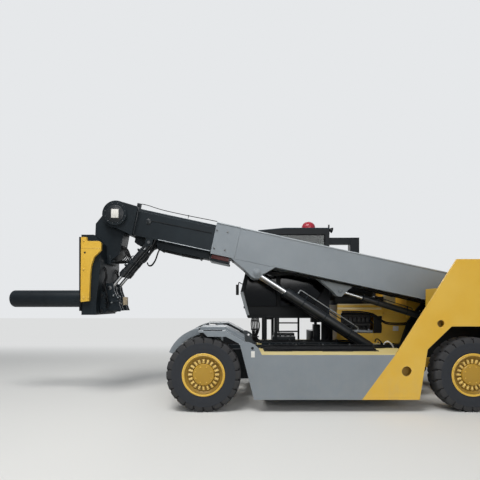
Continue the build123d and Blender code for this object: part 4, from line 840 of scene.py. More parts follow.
# Carriage: a tilt frame of black plate with yellow cheek plates and a forged coil ram on a
# flange. Hoses loop from the head to its valve, and rubber stops sit at its foot.
dress(black_enamel, "carriage_frame", "coil_ram")
dress(yellow_enamel, "carriage_plates")
RAM_AT = from_head(-0.660, 0, -1.620)
mesh = bmesh.new()
for angle in around(12):
    at = RAM_AT + Vector((0.001, 0.198 * math.sin(angle), 0.198 * math.cos(angle)))
    hex_bolts(mesh, [at], (-1, 0, 0), 0.014, 0.016)
for y in (-0.29, 0.29):
    for z in (-0.80, -1.05, -1.30, -1.84):
        hex_bolts(mesh, [from_head(-0.620, y, z)], (-1, 0, 0), 0.015, 0.016)
make_piece("ram_flange_bolts", mesh, turned_steel, "carriage", bevel=0.001)
mesh = bmesh.new()
for side in (-1, 1):
    for x, z in ((-0.495, -0.560), (-0.495, -1.610), (-0.405, -1.610), (-0.495, -1.090)):
        at = from_head(x, side * 0.5995, z)
        hex_bolts(mesh, [at], (0, side, 0), 0.014, 0.013)
    block(mesh, from_head(-0.535, side * 0.5985, -0.706), from_head(-0.180, side * 0.6025, -0.698))
make_piece("cheek_plate_bolts", mesh, yellow_enamel, "carriage", bevel=0.001)
mesh = bmesh.new()
for side in (-1, 1):
    at = from_head(-0.470, side * 0.597, -0.780)
    round_bar(mesh, at, aside(at, side * 0.0035), 0.020, 24)
    for x, z in ((-0.262, -1.560), (-0.262, -1.860)):
        foot = from_head(x, side * 0.33, z)
        round_bar(mesh, foot, aside(foot, side * 0.030), 0.032, 28)
    stop = from_head(-0.12, side * 0.23, -1.852)
    round_bar(mesh, stop, stop - Vector((0, 0, 0.030)), 0.045, 32, 0.038)
make_piece("carriage_stops", mesh, moulded_abs, "carriage", bevel=0.003)

# Valve block and hoses of the carriage: drilled steel block, crimped fittings, wrapped hoses.
VALVE_LOW, VALVE_HIGH = from_head(-0.205, -0.20, -0.95), from_head(-0.135, 0.20, -0.78)
mesh = bmesh.new()
block(mesh, VALVE_LOW, VALVE_HIGH)
for index in range(5):
    at = Vector((VALVE_HIGH.x - 0.002, -0.16 + 0.08 * index, VALVE_LOW.z + 0.06))
    round_bar(mesh, at, at + Vector((0.030, 0, 0)), 0.020, 6)
    round_bar(mesh, at + Vector((0.028, 0, 0)), at + Vector((0.060, 0, 0)), 0.016, 20)
make_piece("carriage_valve", mesh, black_enamel, "carriage", bevel=0.003)
for index in range(5):
    y = -0.16 + 0.08 * index
    start = Vector((VALVE_HIGH.x + 0.055, y, VALVE_LOW.z + 0.06))
    far = from_head(0.075, y * 0.85, -0.600)
    pipe(f"carriage_hose_{index}", [start, start + Vector((0.06, 0, -0.005)),
                                    start + Vector((0.16 + 0.02 * index, 0, 0.02)),
                                    start + Vector((0.24, 0, 0.12)), far + Vector((0.06, 0, -0.12)),
                                    far + Vector((0.03, 0, -0.02)), far + Vector((-0.05, 0, 0.06))],
         0.0125, body="carriage")
for side, hand in ((-1, "left"), (1, "right")):
    for row, (y, low) in enumerate(((0.340, -1.72), (0.370, -1.62), (0.305, -1.80))):
        top = -1.02 - 0.03 * row
        pipe(f"foot_hose_{hand}_{row}", [from_head(x, side * reach, z) for x, reach, z in (
            (-0.212, y, top), (-0.177, y, top - 0.02), (-0.162, y, top - 0.14), (-0.215, y, -1.35),
            (-0.150, y, low + 0.12), (-0.135, y, low + 0.02), (-0.200, y - 0.01, low))],
             0.011, body="carriage")

# Marker at the carriage's left foot: an amber lens on a bracket, coloured dull tan as painted shade, and the
# fittings behind it.
mesh = bmesh.new()
block(mesh, from_head(0.134, -0.310, -1.746), from_head(0.222, -0.240, -1.592))
make_piece("marker_lenses", mesh, amber_lens, "carriage", bevel=0.012)
mesh, nuts = bmesh.new(), bmesh.new()
block(mesh, from_head(0.118, -0.318, -1.756), from_head(0.138, -0.232, -1.582))
block(mesh, from_head(-0.150, -0.288, -1.690), from_head(0.122, -0.262, -1.655))
for x, z, radius, nut in ((-0.055, -1.560, 0.045, 0.020), (0.030, -1.600, 0.038, 0.016),
                          (-0.090, -1.690, 0.050, 0.022), (0.020, -1.720, 0.040, 0)):
    round_bar(mesh, from_head(x, -0.205, z), from_head(x, -0.275, z), radius)
    if nut:
        round_bar(nuts, from_head(x, -0.274, z), from_head(x, -0.288, z), nut, 6)
make_piece("marker_brackets", mesh, black_enamel, "carriage", bevel=0.003)
make_piece("marker_bracket_nuts", nuts, zinc_plate, "carriage", bevel=0.002)

# Pins at the tilt cylinders' feet, capped outside their ears.
TILT_EYE = from_head(-0.129, 0, -1.415)
mesh = bmesh.new()
for side in (-1, 1):
    for y, way in ((0.269, 1), (0.111, -1)):
        at = aside(TILT_EYE, side * y)
        round_bar(mesh, at, aside(at, side * way * 0.010), 0.042, 36)
        round_bar(mesh, at, aside(at, side * way * 0.016), 0.026, 30)
make_piece("tilt_eye_caps", mesh, turned_steel, "carriage", bevel=0.002)


# Cylinders: honed steel barrels sprayed black, with a screwed gland at the mouth, welded ports
# and a drawn steel pipe in bands that brings the oil to the rod end, bright on the near one.
dress(barrel_enamel, "lift_barrels", "levelling_barrel", "tilt_barrels")
dress(hard_chrome, "lift_rods", "levelling_rod", "tilt_rods")
LIFT_BASE, LIFT_EYE = spot(3.600, 0, 0.630), boom_spot(LIFT_PIN[0], 0, LIFT_PIN[1])
LEVEL_BASE, LEVEL_EYE = spot(4.400, 0, 1.470), boom_spot(LEVEL_PIN[0], 0, LEVEL_PIN[1])
TILT_BASE = boom_spot(6.084, 0, -0.345)
# columns: name, base, eye, y, barrel's length and radius, rod's radius, pipe's gap, body
CYLINDERS = (
    ("lift_left", LIFT_BASE, LIFT_EYE, -0.195, 2.500, 0.090, 0.050, 0.100, "lift_barrel_pair"),
    ("lift_right", LIFT_BASE, LIFT_EYE, 0.195, 2.500, 0.090, 0.050, 0.100, "lift_barrel_pair"),
    ("levelling", LEVEL_BASE, LEVEL_EYE, 0.0, 1.400, 0.062, 0.034, 0.040, "levelling_barrel"),
    ("tilt_left", TILT_BASE, TILT_EYE, -0.190, 0.830, 0.062, 0.034, 0.030, "tilt_barrel_pair"),
    ("tilt_right", TILT_BASE, TILT_EYE, 0.190, 0.830, 0.062, 0.034, 0.030, "tilt_barrel_pair"),
)
for name, base, eye, y, length, radius, rod, gap, body in CYLINDERS:
    way = (eye - base).normalized()
    up = Vector((-way.z, 0, way.x))
    up = up if up.z > 0 else -up
    line = Vector((0, y, 0))

    def on_barrel(distance, rise):
        """A place along the barrel and above its axis."""
        return base + line + way * distance + up * rise

    is_lift = length > 2
    lip, reach = (0.002, 0.0005) if name.startswith("tilt") else (0.007, 0.012)
    port = length - 0.20
    mesh = bmesh.new()
    for start, end, r in ((length - 0.118, length - 0.104, radius + 0.008),
                          (length - 0.030, length - 0.010, radius + lip),
                          (length - 0.010, length + reach, radius - 0.006),
                          (length + 0.010, length + 0.024, rod + 0.014),
                          (0.185, 0.200, radius + 0.007)):
        round_bar(mesh, on_barrel(start, 0), on_barrel(end, 0), r, 56)
    across = up.cross(way).normalized()
    for angle in around(8):
        outward = up * math.cos(angle) + across * math.sin(angle)
        hex_bolts(mesh, [on_barrel(length + 0.010, 0) + outward * (radius - 0.022)], way, 0.007, 0.009)
    for along in (0.24, port):
        round_bar(mesh, on_barrel(along, radius - 0.006), on_barrel(along, radius + 0.022), 0.024, 28)
    make_piece(f"{name}_gland_and_ports", mesh, black_enamel, body, bevel=0.002)
    mesh = bmesh.new()
    for along in (0.24, port):
        round_bar(mesh, on_barrel(along, radius + 0.020), on_barrel(along, radius + 0.040), 0.017, 6)
    make_piece(f"{name}_pipe_nuts", mesh, zinc_plate, body, bevel=0.001)
    rise = radius + gap
    bend, run_in = (0.93, 0.05) if is_lift else (0.39, 0.03)
    pipe(f"{name}_rod_end_pipe", [on_barrel(along, high) for along, high in (
        (port, radius + 0.034), (port, rise - 0.012), (port - 0.006, rise), (port - 0.040, rise + 0.004),
        (length * 0.6, rise), (bend + run_in, rise), (bend + 0.01, rise - 0.01), (bend, radius + 0.004))],
         0.0095 if is_lift else 0.008, zinc_plate if name == "lift_left" else black_enamel, body)
    mesh = bmesh.new()
    for along in ((1.05, 1.62, 2.12) if is_lift else (0.50, length - 0.30)):
        round_bar(mesh, on_barrel(along - 0.012, 0), on_barrel(along + 0.012, 0), radius + 0.002, 56)
        round_bar(mesh, on_barrel(along, radius - 0.004), on_barrel(along, rise + 0.012), 0.011, 12)
    make_piece(f"{name}_pipe_bands", mesh, black_enamel, body, bevel=0.001)
for side, hand, finish in ((-1, "left", white_vinyl), (1, "right", hose_rubber)):
    pipe(f"lift_feed_hose_{hand}", [spot(u, side * y, z) for u, y, z in (
        (3.385, 0.235, 0.985), (3.405, 0.262, 1.035), (3.450, 0.275, 1.050), (3.505, 0.280, 1.010),
        (3.545, 0.282, 0.950), (3.560, 0.270, 0.900), (3.540, 0.235, 0.860))], 0.013, finish,
         "lift_barrel_pair")

# Front edges of the carriage: black wear strips stand ahead of the yellow plates.
mesh = bmesh.new()
for side in (-1, 1):
    slab(mesh, -2.374, -2.346, side * 0.470, side * 0.590, 1.640, 3.010)
make_piece("carriage_wear_strips", mesh, hose_rubber, "carriage", bevel=0.008)


# Cab: a box of folded black steel frames with flat tinted panes in rubber gaskets. The panes are
# painted near black up to the boom's line: painted shade of the shadowed cab. It holds work lamps,
# a mirror and grab rails.
CAB_REAR_U, CAB_Y, CAB_MID_Y = 2.500, (0.460, 1.340), 0.900
# The cab's black, darker than the frames', is painted shade.
dress(cab_enamel, "cab_shell", "cab_stand", "cab_step", "cab_door", "intake_duct")


def tinted_glass(name, film, clear, painted_shade_top):
    """Toughened glass in the film colour below a given height and clear above, softly cut off; the dark film
    colour is painted shade.
    """
    made, tree, place = bare_material(name)
    wiped = noise(tree, place, 2.2, 5.0)
    up = remap(tree, part_of(tree, place, "Z"), painted_shade_top - 0.06, painted_shade_top + 0.06,
               interpolation_type="SMOOTHSTEP")
    tint = blend(tree, maths(tree, "MULTIPLY", up, wiped), film, clear)
    end_with(tree, {"Base Color": tint, "Roughness": remap(tree, wiped, 0.0, 1.0, 0.03, 0.14), "IOR": 1.45,
                    "Specular IOR Level": 0.4, "Transmission Weight": 0.94})
    return made


# The near-black #06090A below 2.93 m is painted shade on the panes.
cab_pane = tinted_glass("toughened_glass_with_painted_shade", "#06090A", "#8B9994", 2.93)
dress(cab_pane, "cab_glass", "door_glass")


def ahead(distance, y, z):
    """A place measured ahead of the cab's rear wall."""
    return spot(CAB_REAR_U - distance, y, z)


LEFT_PANES = (
    ((1.740, 1.720), (1.810, 2.030), (1.720, 2.400), (1.460, 3.240), (1.120, 3.250), (1.120, 1.720)),
    ((1.050, 1.720), (1.050, 3.250), (0.100, 3.250), (0.100, 2.100), (0.350, 1.720)))
for pane, corners in enumerate(LEFT_PANES):
    loop = [ahead(a, 0.458, z) for a, z in corners]
    for run, (start, end) in enumerate(zip(loop, loop[1:] + loop[:1])):
        pipe(f"left_pane_gasket_{pane}_{run}", [start, end], 0.011, order=2)

# Pale strip on the front corner, bent from sheet, its pale gray a painted highlight of the lit pillar; a
# mirror's arm is bolted to it.
mesh = bmesh.new()
side_sheet(mesh, ((1.893, 2.026), (1.755, 1.530), (1.705, 1.535), (1.835, 2.031)), 0.4545, 0.4605, ahead)
make_piece("cab_corner_strip", mesh, lip_enamel, bevel=0.001)
mesh = bmesh.new()
arm = [ahead(1.870, 0.450, 2.200), ahead(1.925, 0.440, 2.235), ahead(1.945, 0.430, 2.150)]
round_bar(mesh, ahead(1.820, 0.462, 2.190), arm[0], 0.012, 14)
round_bar(mesh, arm[0], arm[1], 0.010, 14)
round_bar(mesh, arm[1], arm[2], 0.010, 14)
block(mesh, ahead(1.990, 0.395, 1.960), ahead(1.928, 0.455, 2.180))
make_piece("cab_mirror", mesh, moulded_abs, bevel=0.008)
mesh = bmesh.new()
block(mesh, ahead(1.9295, 0.402, 1.970), ahead(1.9265, 0.448, 2.170))
make_piece("cab_mirror_glass", mesh, mirror_glass, bevel=0.001)

# Roof: pressed sheet with a drip rail, a red dome lamp on a rubber foot, work lamps on brackets.
mesh = bmesh.new()
for y in (CAB_Y[0] + 0.006, CAB_Y[1] - 0.006):
    for (a0, z0), (a1, z1) in (((0.0, 3.384), (0.946, 3.384)), ((0.946, 3.384), (1.515, 3.332))):
        round_bar(mesh, ahead(a0, y, z0), ahead(a1, y, z1), 0.012, 14)
make_piece("roof_drip_rails", mesh, roof_enamel)
BEACON_AT, BEACON_R = spot(2.130, CAB_MID_Y, 3.386), 0.150
mesh = bmesh.new()
dome = [(BEACON_R, 0.050), (BEACON_R, 0.075)]
dome += [(BEACON_R * math.cos(a / 5), 0.100 + 0.130 * math.sin(a / 5)) for a in range(8)]
dome += [(0.0, 0.230)]
rings = []
for step, angle in enumerate(around(64, 0)):
    ribbed = 1 + 0.012 * (step % 2)
    across, along = ribbed * math.cos(angle), ribbed * math.sin(angle)
    rings.append([mesh.verts.new(BEACON_AT + Vector((r * across, r * along, z))) for r, z in dome])
skin(mesh, rings, around=True, closed=False)
beacon = make_piece("beacon_dome", mesh, red_dome)
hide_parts("roof_beacon")
mesh = bmesh.new()
round_bar(mesh, BEACON_AT, BEACON_AT + Vector((0, 0, 0.052)), 0.125, 48, 0.118)
make_piece("beacon_foot", mesh, hose_rubber, bevel=0.004)


def work_lamp(mesh, lens, place, aim, radius=0.055):
    """A round work lamp: a cone with a rim, a plug at its back and a lens."""
    aim = Vector(aim).normalized()
    round_bar(mesh, place - aim * 0.060, place - aim * 0.010, radius * 0.55, 28, radius * 0.98)
    round_bar(mesh, place - aim * 0.012, place + aim * 0.006, radius, 36)
    round_bar(mesh, place - aim * 0.075, place - aim * 0.055, radius * 0.45, 20)
    round_bar(lens, place + aim * 0.002, place + aim * 0.010, radius * 0.86, 36, radius * 0.8)


mesh, lens = bmesh.new(), bmesh.new()
for y in (0.520, 1.280):
    work_lamp(mesh, lens, spot(2.572, y, 3.350), (1, 0, -0.25), 0.058)
    slab(mesh, 2.485, 2.514, y - 0.014, y + 0.014, 3.260, 3.470)
    slab(mesh, 2.490, 2.520, y - 0.010, y + 0.010, 3.340, 3.366)
make_piece("cab_work_lamps", mesh, moulded_abs, bevel=0.002)
make_piece("cab_work_lamp_glass", lens, lamp_glass, bevel=0.002)

# The moulded boss of the wiper's motor, on the windscreen's foot.
mesh = bmesh.new()
foot = ahead(1.800, CAB_MID_Y, 1.700)
round_bar(mesh, foot + Vector((0.03, 0, 0)), foot + Vector((-0.022, 0, 0)), 0.028, 24)
make_piece("wiper_boss", mesh, moulded_abs, bevel=0.003)

# Hoses and looms that drop from the cab's floor to the deck, tied in a bundle.
for row in range(6):
    u, y, radius = 0.850 + 0.026 * row, 0.500 + 0.030 * (row % 3), 0.012 + 0.002 * (row % 2)
    pipe(f"cab_loom_{row}", [spot(u + back, y - aside_by, z) for back, aside_by, z in (
        (0.020, 0, 1.545), (0, 0, 1.460), (-0.020 + 0.012 * row, 0, 1.330), (0.015, 0.02, 1.180),
        (0.010 - 0.010 * row, 0.02, 1.060), (0.030, 0.01, 0.985), (0.110, 0, 0.955))], radius)
mesh = bmesh.new()
for z in (1.400, 1.220, 1.060):
    slab(mesh, 0.830, 1.000, 0.455, 0.585, z, z + 0.022)
make_piece("cab_loom_ties", mesh, moulded_abs, bevel=0.006)

# Stand: folded boxes for the fuses and the battery between the cab's posts, and a thick air hose.
mesh = bmesh.new()
for box in ((1.120, 1.300, 0.470, 0.560, 1.440, 1.532), (2.120, 2.310, 0.470, 0.620, 1.380, 1.532),
            (2.140, 2.330, 0.700, 1.200, 0.937, 1.180), (1.360, 1.820, 0.900, 1.240, 0.937, 1.120),
            (2.180, 2.320, 0.520, 0.690, 0.937, 1.330), (2.405, 2.590, 0.540, 0.780, 0.937, 1.360)):
    slab(mesh, *box)
make_piece("cab_stand_boxes", mesh, cab_enamel, bevel=0.006)
pipe("cab_strut_hose", [spot(2.385, 0.480, 1.520), spot(2.400, 0.470, 1.380), spot(2.470, 0.462, 1.220),
                        spot(2.500, 0.460, 1.080), spot(2.440, 0.462, 0.980), spot(2.380, 0.480, 0.948)],
     0.022)

# Door side: hinges, a pull handle on its lock plate, and two grab rails, bent from round bar.
HINGE_U, HINGE_Y = 2.270, 1.354
mesh = bmesh.new()
for z in (1.820, 2.450, 3.050):
    round_bar(mesh, spot(HINGE_U, HINGE_Y, z - 0.050), spot(HINGE_U, HINGE_Y, z + 0.050), 0.013, 20)
make_piece("door_hinges", mesh, cab_enamel, "door", bevel=0.001)
pipe("door_handle", [spot(1.255, y, z) for y, z in (
    (1.341, 2.080), (1.382, 2.085), (1.388, 2.140), (1.388, 2.260), (1.382, 2.315), (1.341, 2.320))],
     0.011, turned_steel, "door")
mesh = bmesh.new()
slab(mesh, 1.225, 1.285, 1.340, 1.347, 2.070, 2.330)
make_piece("door_lock_plate", mesh, moulded_abs, "door", bevel=0.002)
for row, u in enumerate((1.130, 2.330)):
    pipe(f"grab_rail_{row}", [spot(u, y, z) for y, z in (
        (1.338, 1.800), (1.382, 1.810), (1.385, 1.880), (1.385, 2.520), (1.382, 2.590), (1.338, 2.600))],
         0.014, yellow_enamel)


# Seat: moulded foam in black woven cloth with sewn channels, on a frame over rubber bellows.
def woven_cloth(name, warp, weft, thread_mm):
    """Plain weave: over and under threads crossing; drawn at 3 times its size to show."""
    made, tree, place = bare_material(name)
    scale = 1000 / (2 * math.pi * 3 * thread_mm)
    over, under = (add_node(tree, "TexWave", {"Vector": place, "Scale": scale, "Distortion": 0.4},
                            bands_direction=axis).outputs["Fac"] for axis in ("Y", "Z"))
    cross = maths(tree, "MULTIPLY", over, under)
    tone = blend(tree, maths(tree, "MULTIPLY", cross, noise(tree, place, 6.0, 4.0)), warp, weft)
    bump = add_node(tree, "Bump", {"Height": cross, "Strength": 0.5, "Distance": 0.0008}).outputs[0]
    end_with(tree, {"Base Color": tone, "Roughness": 0.92, "Normal": bump, "Sheen Weight": 0.3,
                    "Sheen Roughness": 0.5})
    return made


seat_cloth = woven_cloth("black_woven_seat_cloth", "#1B1C1E", "#3A3C40", 1.1)
SEAT_VOXEL, SEAT_SWELL, SEAM_DEEP, SEAM_WIDE = 0.008, 0.012, 0.007, 0.009


def stuffed(name, profile, y0, y1, seams, seam_axis):
    """A foam pad in sewn cloth: blown up by simulation, capped, then pulled in along its seams."""
    mesh = bmesh.new()
    side_sheet(mesh, profile, y0, y1)
    bmesh.ops.recalc_face_normals(mesh, faces=mesh.faces)
    bmesh.ops.bevel(mesh, geom=list(mesh.edges), offset=0.032, segments=4, affect="EDGES", profile=0.5)
    data = bpy.data.meshes.new(name)
    mesh.to_mesh(data)
    mesh.free()
    pad = bpy.data.objects.new(name, data)
    scene.collection.objects.link(pad)

    def freeze():
        made = bpy.data.meshes.new_from_object(pad.evaluated_get(bpy.context.evaluated_depsgraph_get()))
        pad.modifiers.clear()
        pad.data = made

    skin = pad.modifiers.new("skin", "REMESH")
    skin.mode, skin.voxel_size = "VOXEL", SEAT_VOXEL
    freeze()
    before = [v.co.copy() for v in pad.data.vertices]
    stuffing = pad.modifiers.new("stuffing", "CLOTH")
    stuffing.settings.use_pressure = True
    stuffing.settings.uniform_pressure_force = 4
    stuffing.settings.effector_weights.gravity = 0
    for number in range(1, 21):
        scene.frame_set(number)
    freeze()
    scene.frame_set(1)
    for vertex, old in zip(pad.data.vertices, before):
        moved = vertex.co - old
        if moved.length > SEAT_SWELL:
            vertex.co = old + moved * (SEAT_SWELL / moved.length)
    round_off = pad.modifiers.new("round_off", "SUBSURF")
    round_off.levels = 1
    freeze()
    normals = [vertex.normal.copy() for vertex in pad.data.vertices]
    for vertex, normal in zip(pad.data.vertices, normals):
        at = getattr(vertex.co, seam_axis)
        pull = sum(math.exp(-((at - seam) / SEAM_WIDE) ** 2) for seam in seams)
        vertex.co -= normal * (pull * SEAM_DEEP)
    for face in pad.data.polygons:
        face.use_smooth = True
    pad.data.materials.append(seat_cloth)
    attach(pad, "chassis")
    return pad


CUSHION = ((1.575, 1.918), (2.045, 1.914), (2.045, 2.020), (1.580, 2.034))
BACK_REST = ((2.018, 2.058), (2.104, 2.050), (2.238, 2.738), (2.156, 2.744))
cushion = stuffed("seat_cushion", CUSHION, 0.668, 1.132, (0.760, 1.040), "y")
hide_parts("driver_seat")
stuffed("seat_back", BACK_REST, 0.678, 1.122, (2.250, 2.420, 2.590), "z")
mesh = bmesh.new()
slab(mesh, 1.600, 2.080, 0.690, 1.110, 1.880, 1.916)
slab(mesh, 1.640, 2.060, 0.720, 1.080, 1.580, 1.620)
for y in (0.640, 1.145):
    slab(mesh, 1.700, 2.080, y, y + 0.045, 2.180, 2.225)
    slab(mesh, 2.050, 2.095, y, y + 0.045, 2.040, 2.200)
    slab(mesh, 2.030, 2.090, y, y + 0.045, 1.890, 2.060)
make_piece("seat_frame", mesh, moulded_abs, bevel=0.008)
mesh = bmesh.new()
for index in range(9):
    z, grow = 1.620 + 0.029 * index, 0.012 * (index % 2)
    slab(mesh, 1.680 - grow, 2.020 + grow, 0.750 - grow, 1.050 + grow, z, z + 0.030)
make_piece("seat_bellows", mesh, hose_rubber, bevel=0.008)
dress(moulded_abs, "steering_console")


# Engine: a cast block behind a yellow hood of folded sheet with an open side. Behind the hood a
# fixed panel closes the way to the rear frame, and hoses cross over it.
dress(sand_cast_iron, "engine_block")
# The hood and its side panels take a lighter yellow than the machine's: painted sunlight.
dress(hood_enamel, "engine_hood")
mesh = bmesh.new()
for corners, y0, y1 in (
        (((3.560, 0.937), (4.150, 0.937), (4.150, 1.424), (3.960, 1.424), (3.560, 1.030)), 0.470, 0.482),
        (((2.745, 1.004), (3.436, 1.004), (3.436, 1.150), (2.745, 1.150)), 0.462, 0.474),
        (((2.662, 1.700), (4.095, 1.700), (4.095, 1.752), (2.662, 1.752)), 0.448, 0.4605),
        (((3.600, 1.340), (4.340, 1.340), (4.340, 1.424), (4.100, 1.560), (3.660, 1.580)), 0.446, 0.4605)):
    side_sheet(mesh, corners, y0, y1)
make_piece("engine_side_panels", mesh, hood_enamel, bevel=0.003)
# Rails and blocks over the hood are painted pale yellow: painted sunlight on their lit tops.
mesh = bmesh.new()
slab(mesh, 2.664, 3.640, 0.432, 0.470, 1.745, 1.775)
slab(mesh, 2.664, 3.600, 0.436, 0.4615, 1.652, 1.696)
slab(mesh, 3.690, 3.900, 0.440, 0.600, 1.770, 1.960)
slab(mesh, 4.160, 4.330, 0.440, 0.560, 1.640, 1.745)
make_piece("engine_top_rails", mesh, sunlit_enamel, bevel=0.008)
mesh = bmesh.new()
side_sheet(mesh, ((3.440, 1.155), (3.600, 1.155), (3.610, 1.200), (3.610, 1.515), (2.740, 1.515),
                  (2.740, 1.495), (3.440, 1.495)), 0.4525, 0.4605)
make_piece("engine_door_seal", mesh, hose_rubber, bevel=0.002)
mesh = bmesh.new()
round_bar(mesh, spot(2.780, 0.500, 1.200), spot(3.430, 0.500, 1.180), 0.030, 28)
for u in (2.860, 3.330):
    round_bar(mesh, spot(u, 0.500, 1.198), spot(u + 0.030, 0.500, 1.198), 0.037, 28)
make_piece("charge_air_pipe", mesh, lip_enamel, bevel=0.002)
mesh = bmesh.new()
for index in range(6):
    u = 2.850 + 0.092 * index
    slab(mesh, u, u + 0.074, 0.560, 0.632, 1.380, 1.480)
    round_bar(mesh, spot(u + 0.037, 0.565, 1.330), spot(u + 0.037, 0.540, 1.250), 0.020, 16)
round_bar(mesh, spot(2.810, 0.548, 1.325), spot(3.400, 0.548, 1.325), 0.034, 24)
round_bar(mesh, spot(3.250, 0.530, 1.100), spot(3.250, 0.630, 1.100), 0.055, 32)
round_bar(mesh, spot(3.090, 0.530, 1.080), spot(3.090, 0.630, 1.080), 0.045, 32)
make_piece("engine_dress", mesh, sand_cast_iron, bevel=0.006)
for row, (u, z) in enumerate(((2.860, 1.100), (2.950, 1.120), (3.380, 1.420))):
    pipe(f"engine_hose_{row}", [spot(u + back, y, z - down) for back, y, down in (
        (0, 0.640, 0), (0, 0.560, 0), (0.02, 0.520, 0.03), (0.10, 0.500, 0.09), (0.22, 0.490, 0.11),
        (0.32, 0.520, 0.06), (0.36, 0.640, 0.02))], 0.017)
for row, (drop, y) in enumerate(((0.0, 0.438), (0.030, 0.424))):
    pipe(f"hood_hose_{row}", [spot(u, y, z - drop) for u, z in (
        (2.760, 1.615), (3.030, 1.615), (3.260, 1.600), (3.430, 1.560), (3.560, 1.470), (3.640, 1.400),
        (3.760, 1.370), (3.960, 1.360), (4.180, 1.372), (4.330, 1.400), (4.420, 1.440))],
         0.013 - 0.002 * row)
mesh = bmesh.new()
slab(mesh, 3.850, 3.960, 0.4430, 0.4705, 1.200, 1.300)
make_piece("blank_engine_plate", mesh, white_vinyl, bevel=0.002)

# Air cleaner: a black moulded housing on the hood behind the cab, with a canister in steel straps.
mesh = bmesh.new()
slab(mesh, 2.640, 3.420, 0.560, 1.180, 1.752, 2.060)
round_bar(mesh, spot(2.560, 0.700, 2.010), spot(3.440, 0.700, 2.010), 0.170, 48)
round_bar(mesh, spot(3.435, 0.700, 2.010), spot(3.470, 0.700, 2.010), 0.120, 40)
round_bar(mesh, spot(3.400, 0.900, 1.900), spot(3.640, 0.900, 1.840), 0.080, 36)
slab(mesh, 3.520, 3.900, 0.560, 1.060, 1.752, 1.930)
make_piece("air_cleaner", mesh, moulded_abs, bevel=0.014)
mesh = bmesh.new()
for u in (2.720, 3.240):
    round_bar(mesh, spot(u, 0.700, 2.010), spot(u + 0.030, 0.700, 2.010), 0.173, 48)
make_piece("air_cleaner_straps", mesh, black_enamel, bevel=0.001)

# Exhaust: a silencer and a steel pipe with a bent tip, clamped behind the cab.
mesh = bmesh.new()
round_bar(mesh, spot(3.700, 1.180, 1.750), spot(3.700, 1.180, 1.960), 0.085, 40)
round_bar(mesh, spot(3.700, 1.180, 1.955), spot(3.700, 1.180, 2.560), 0.048, 32)
round_bar(mesh, spot(3.700, 1.180, 2.555), spot(3.770, 1.180, 2.640), 0.048, 32, 0.046)
for z in (2.050, 2.420):
    round_bar(mesh, spot(3.700, 1.180, z), spot(3.700, 1.180, z + 0.030), 0.053, 32)
make_piece("exhaust_pipe", mesh, sand_cast_iron, bevel=0.003)

# Louvres of the hood's outer side: pressed slats, folded outward at their lower edge.
mesh = bmesh.new()
for index in range(14):
    z = 1.080 + 0.042 * index
    turn = Matrix.Translation(spot(3.080, 1.368, z)) @ Matrix.Rotation(math.radians(28), 4, "X")
    block(mesh, (-0.380, -0.014, -0.0025), (0.380, 0.014, 0.0025), turn)
for u in (2.690, 3.470):
    slab(mesh, u, u + 0.012, 1.362, 1.384, 1.050, 1.660)
make_piece("hood_louvres", mesh, yellow_enamel)
mesh = bmesh.new()
for u in (2.900, 3.260, 3.900):
    slab(mesh, u, u + 0.060, 1.362, 1.378, 1.690, 1.740)
make_piece("hood_latches", mesh, turned_steel, bevel=0.004)


# Tank and radiator boxes: folded sheet with filler caps, a sight glass, slats and bolts.
caps, bolts, slats, glass = bmesh.new(), bmesh.new(), bmesh.new(), bmesh.new()
for node in ("hydraulic_tank", "radiator_box"):
    (x0, y0, z0), (x1, y1, z1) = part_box(node)
    wide, high = x1 - x0, z1 - z0
    outer = max((y1, y0), key=abs)
    out = 1 if outer > 0 else -1
    for share in (0.25, 0.70):
        at = Vector((x0 + share * wide, (y0 + y1) / 2, z1 - 0.002))
        round_bar(caps, at, at + Vector((0, 0, 0.018)), 0.070, 40)
        round_bar(caps, at + Vector((0, 0, 0.016)), at + Vector((0, 0, 0.052)), 0.052, 12)
    for share in (0.04, 0.96):
        hex_bolts(bolts, [(x0 + share * wide, outer - out * 0.001, z0 + up * high) for up in (0.08, 0.92)],
                  (0, out, 0), 0.013, 0.012)
    if node == "hydraulic_tank":
        block(glass, (x0 + 0.12, outer, z0 + 0.14), (x0 + 0.17, outer + out * 0.014, z0 + 0.42))
        continue
    for index in range(12):
        z = z0 + 0.10 + (high - 0.20) * index / 11
        turn = Matrix.Translation(((x0 + x1) / 2, outer + out * 0.004, z))
        turn @= Matrix.Rotation(math.radians(28 * out), 4, "X")
        block(slats, (-0.36, -0.014, -0.0025), (0.36, 0.014, 0.0025), turn)
make_piece("filler_caps", caps, moulded_abs, bevel=0.004)
make_piece("box_bolts", bolts, zinc_plate, bevel=0.001)
make_piece("cooler_slats", slats, black_enamel)
make_piece("tank_sight_glass", glass, lamp_glass, bevel=0.003)

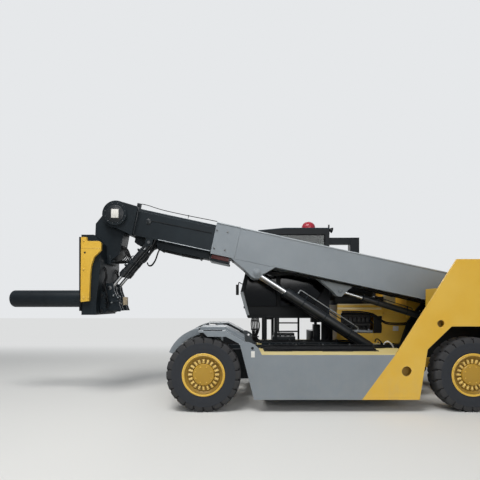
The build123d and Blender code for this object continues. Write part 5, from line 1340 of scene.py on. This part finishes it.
# Counterweight: cast iron slab with a hitch jaw and pin, and bezels round its tail lamps.
REAR_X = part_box("counterweight")[1][0]
dress(red_lens, "tail_lamps")
mesh = bmesh.new()
for side in (-1, 1):
    for z in (1.400, 1.220):
        block(mesh, (REAR_X - 0.030, side * 0.985, z), (REAR_X - 0.001, side * 1.275, z + 0.020))
    for y in (side * 1.000, side * 1.262):
        block(mesh, (REAR_X - 0.030, y - 0.012, 1.238), (REAR_X - 0.001, y + 0.012, 1.402))
make_piece("tail_lamp_bezels", mesh, moulded_abs, bevel=0.002)
mesh = bmesh.new()
for y in (-0.11, 0.11):
    block(mesh, (REAR_X - 0.10, y - 0.016, 0.700), (REAR_X - 0.002, y + 0.016, 0.900))
round_bar(mesh, (REAR_X - 0.050, 0, 0.660), (REAR_X - 0.050, 0, 0.960), 0.030, 32)
make_piece("hitch_jaw", mesh, turned_steel, bevel=0.004)


# Front lamps: round sealed beams in a moulded housing, with a chromed ring and pressed glass.
LAMPS_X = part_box("front_lamps")[0][0]
dress(moulded_abs, "front_lamps")
mesh, ring = bmesh.new(), bmesh.new()
for side in (-1, 1):
    at = Vector((LAMPS_X + 0.010, side * 0.335, 0.850))
    round_bar(ring, at, at - Vector((0.006, 0, 0)), 0.058, 40)
    round_bar(mesh, at - Vector((0.005, 0, 0)), at - Vector((0.0095, 0, 0)), 0.050, 40, 0.046)
make_piece("front_lamp_rings", ring, hard_chrome, bevel=0.001)
make_piece("front_lamp_glass", mesh, lamp_glass, bevel=0.001)

# Driveline: a tubular propeller shaft with crosses and flanges runs to the front axle's nose.
mesh = bmesh.new()
round_bar(mesh, spot(0.330, 0, AXLE_HEIGHT), spot(2.700, 0, 0.760), 0.045, 32)
for u, z in ((0.330, AXLE_HEIGHT), (2.700, 0.760)):
    round_bar(mesh, spot(u - 0.020, 0, z), spot(u + 0.010, 0, z + 0.002), 0.075, 32)
    round_bar(mesh, spot(u + 0.040, -0.062, z + 0.003), spot(u + 0.040, 0.062, z + 0.003), 0.022, 20)
make_piece("propeller_shaft", mesh, turned_steel, bevel=0.003)
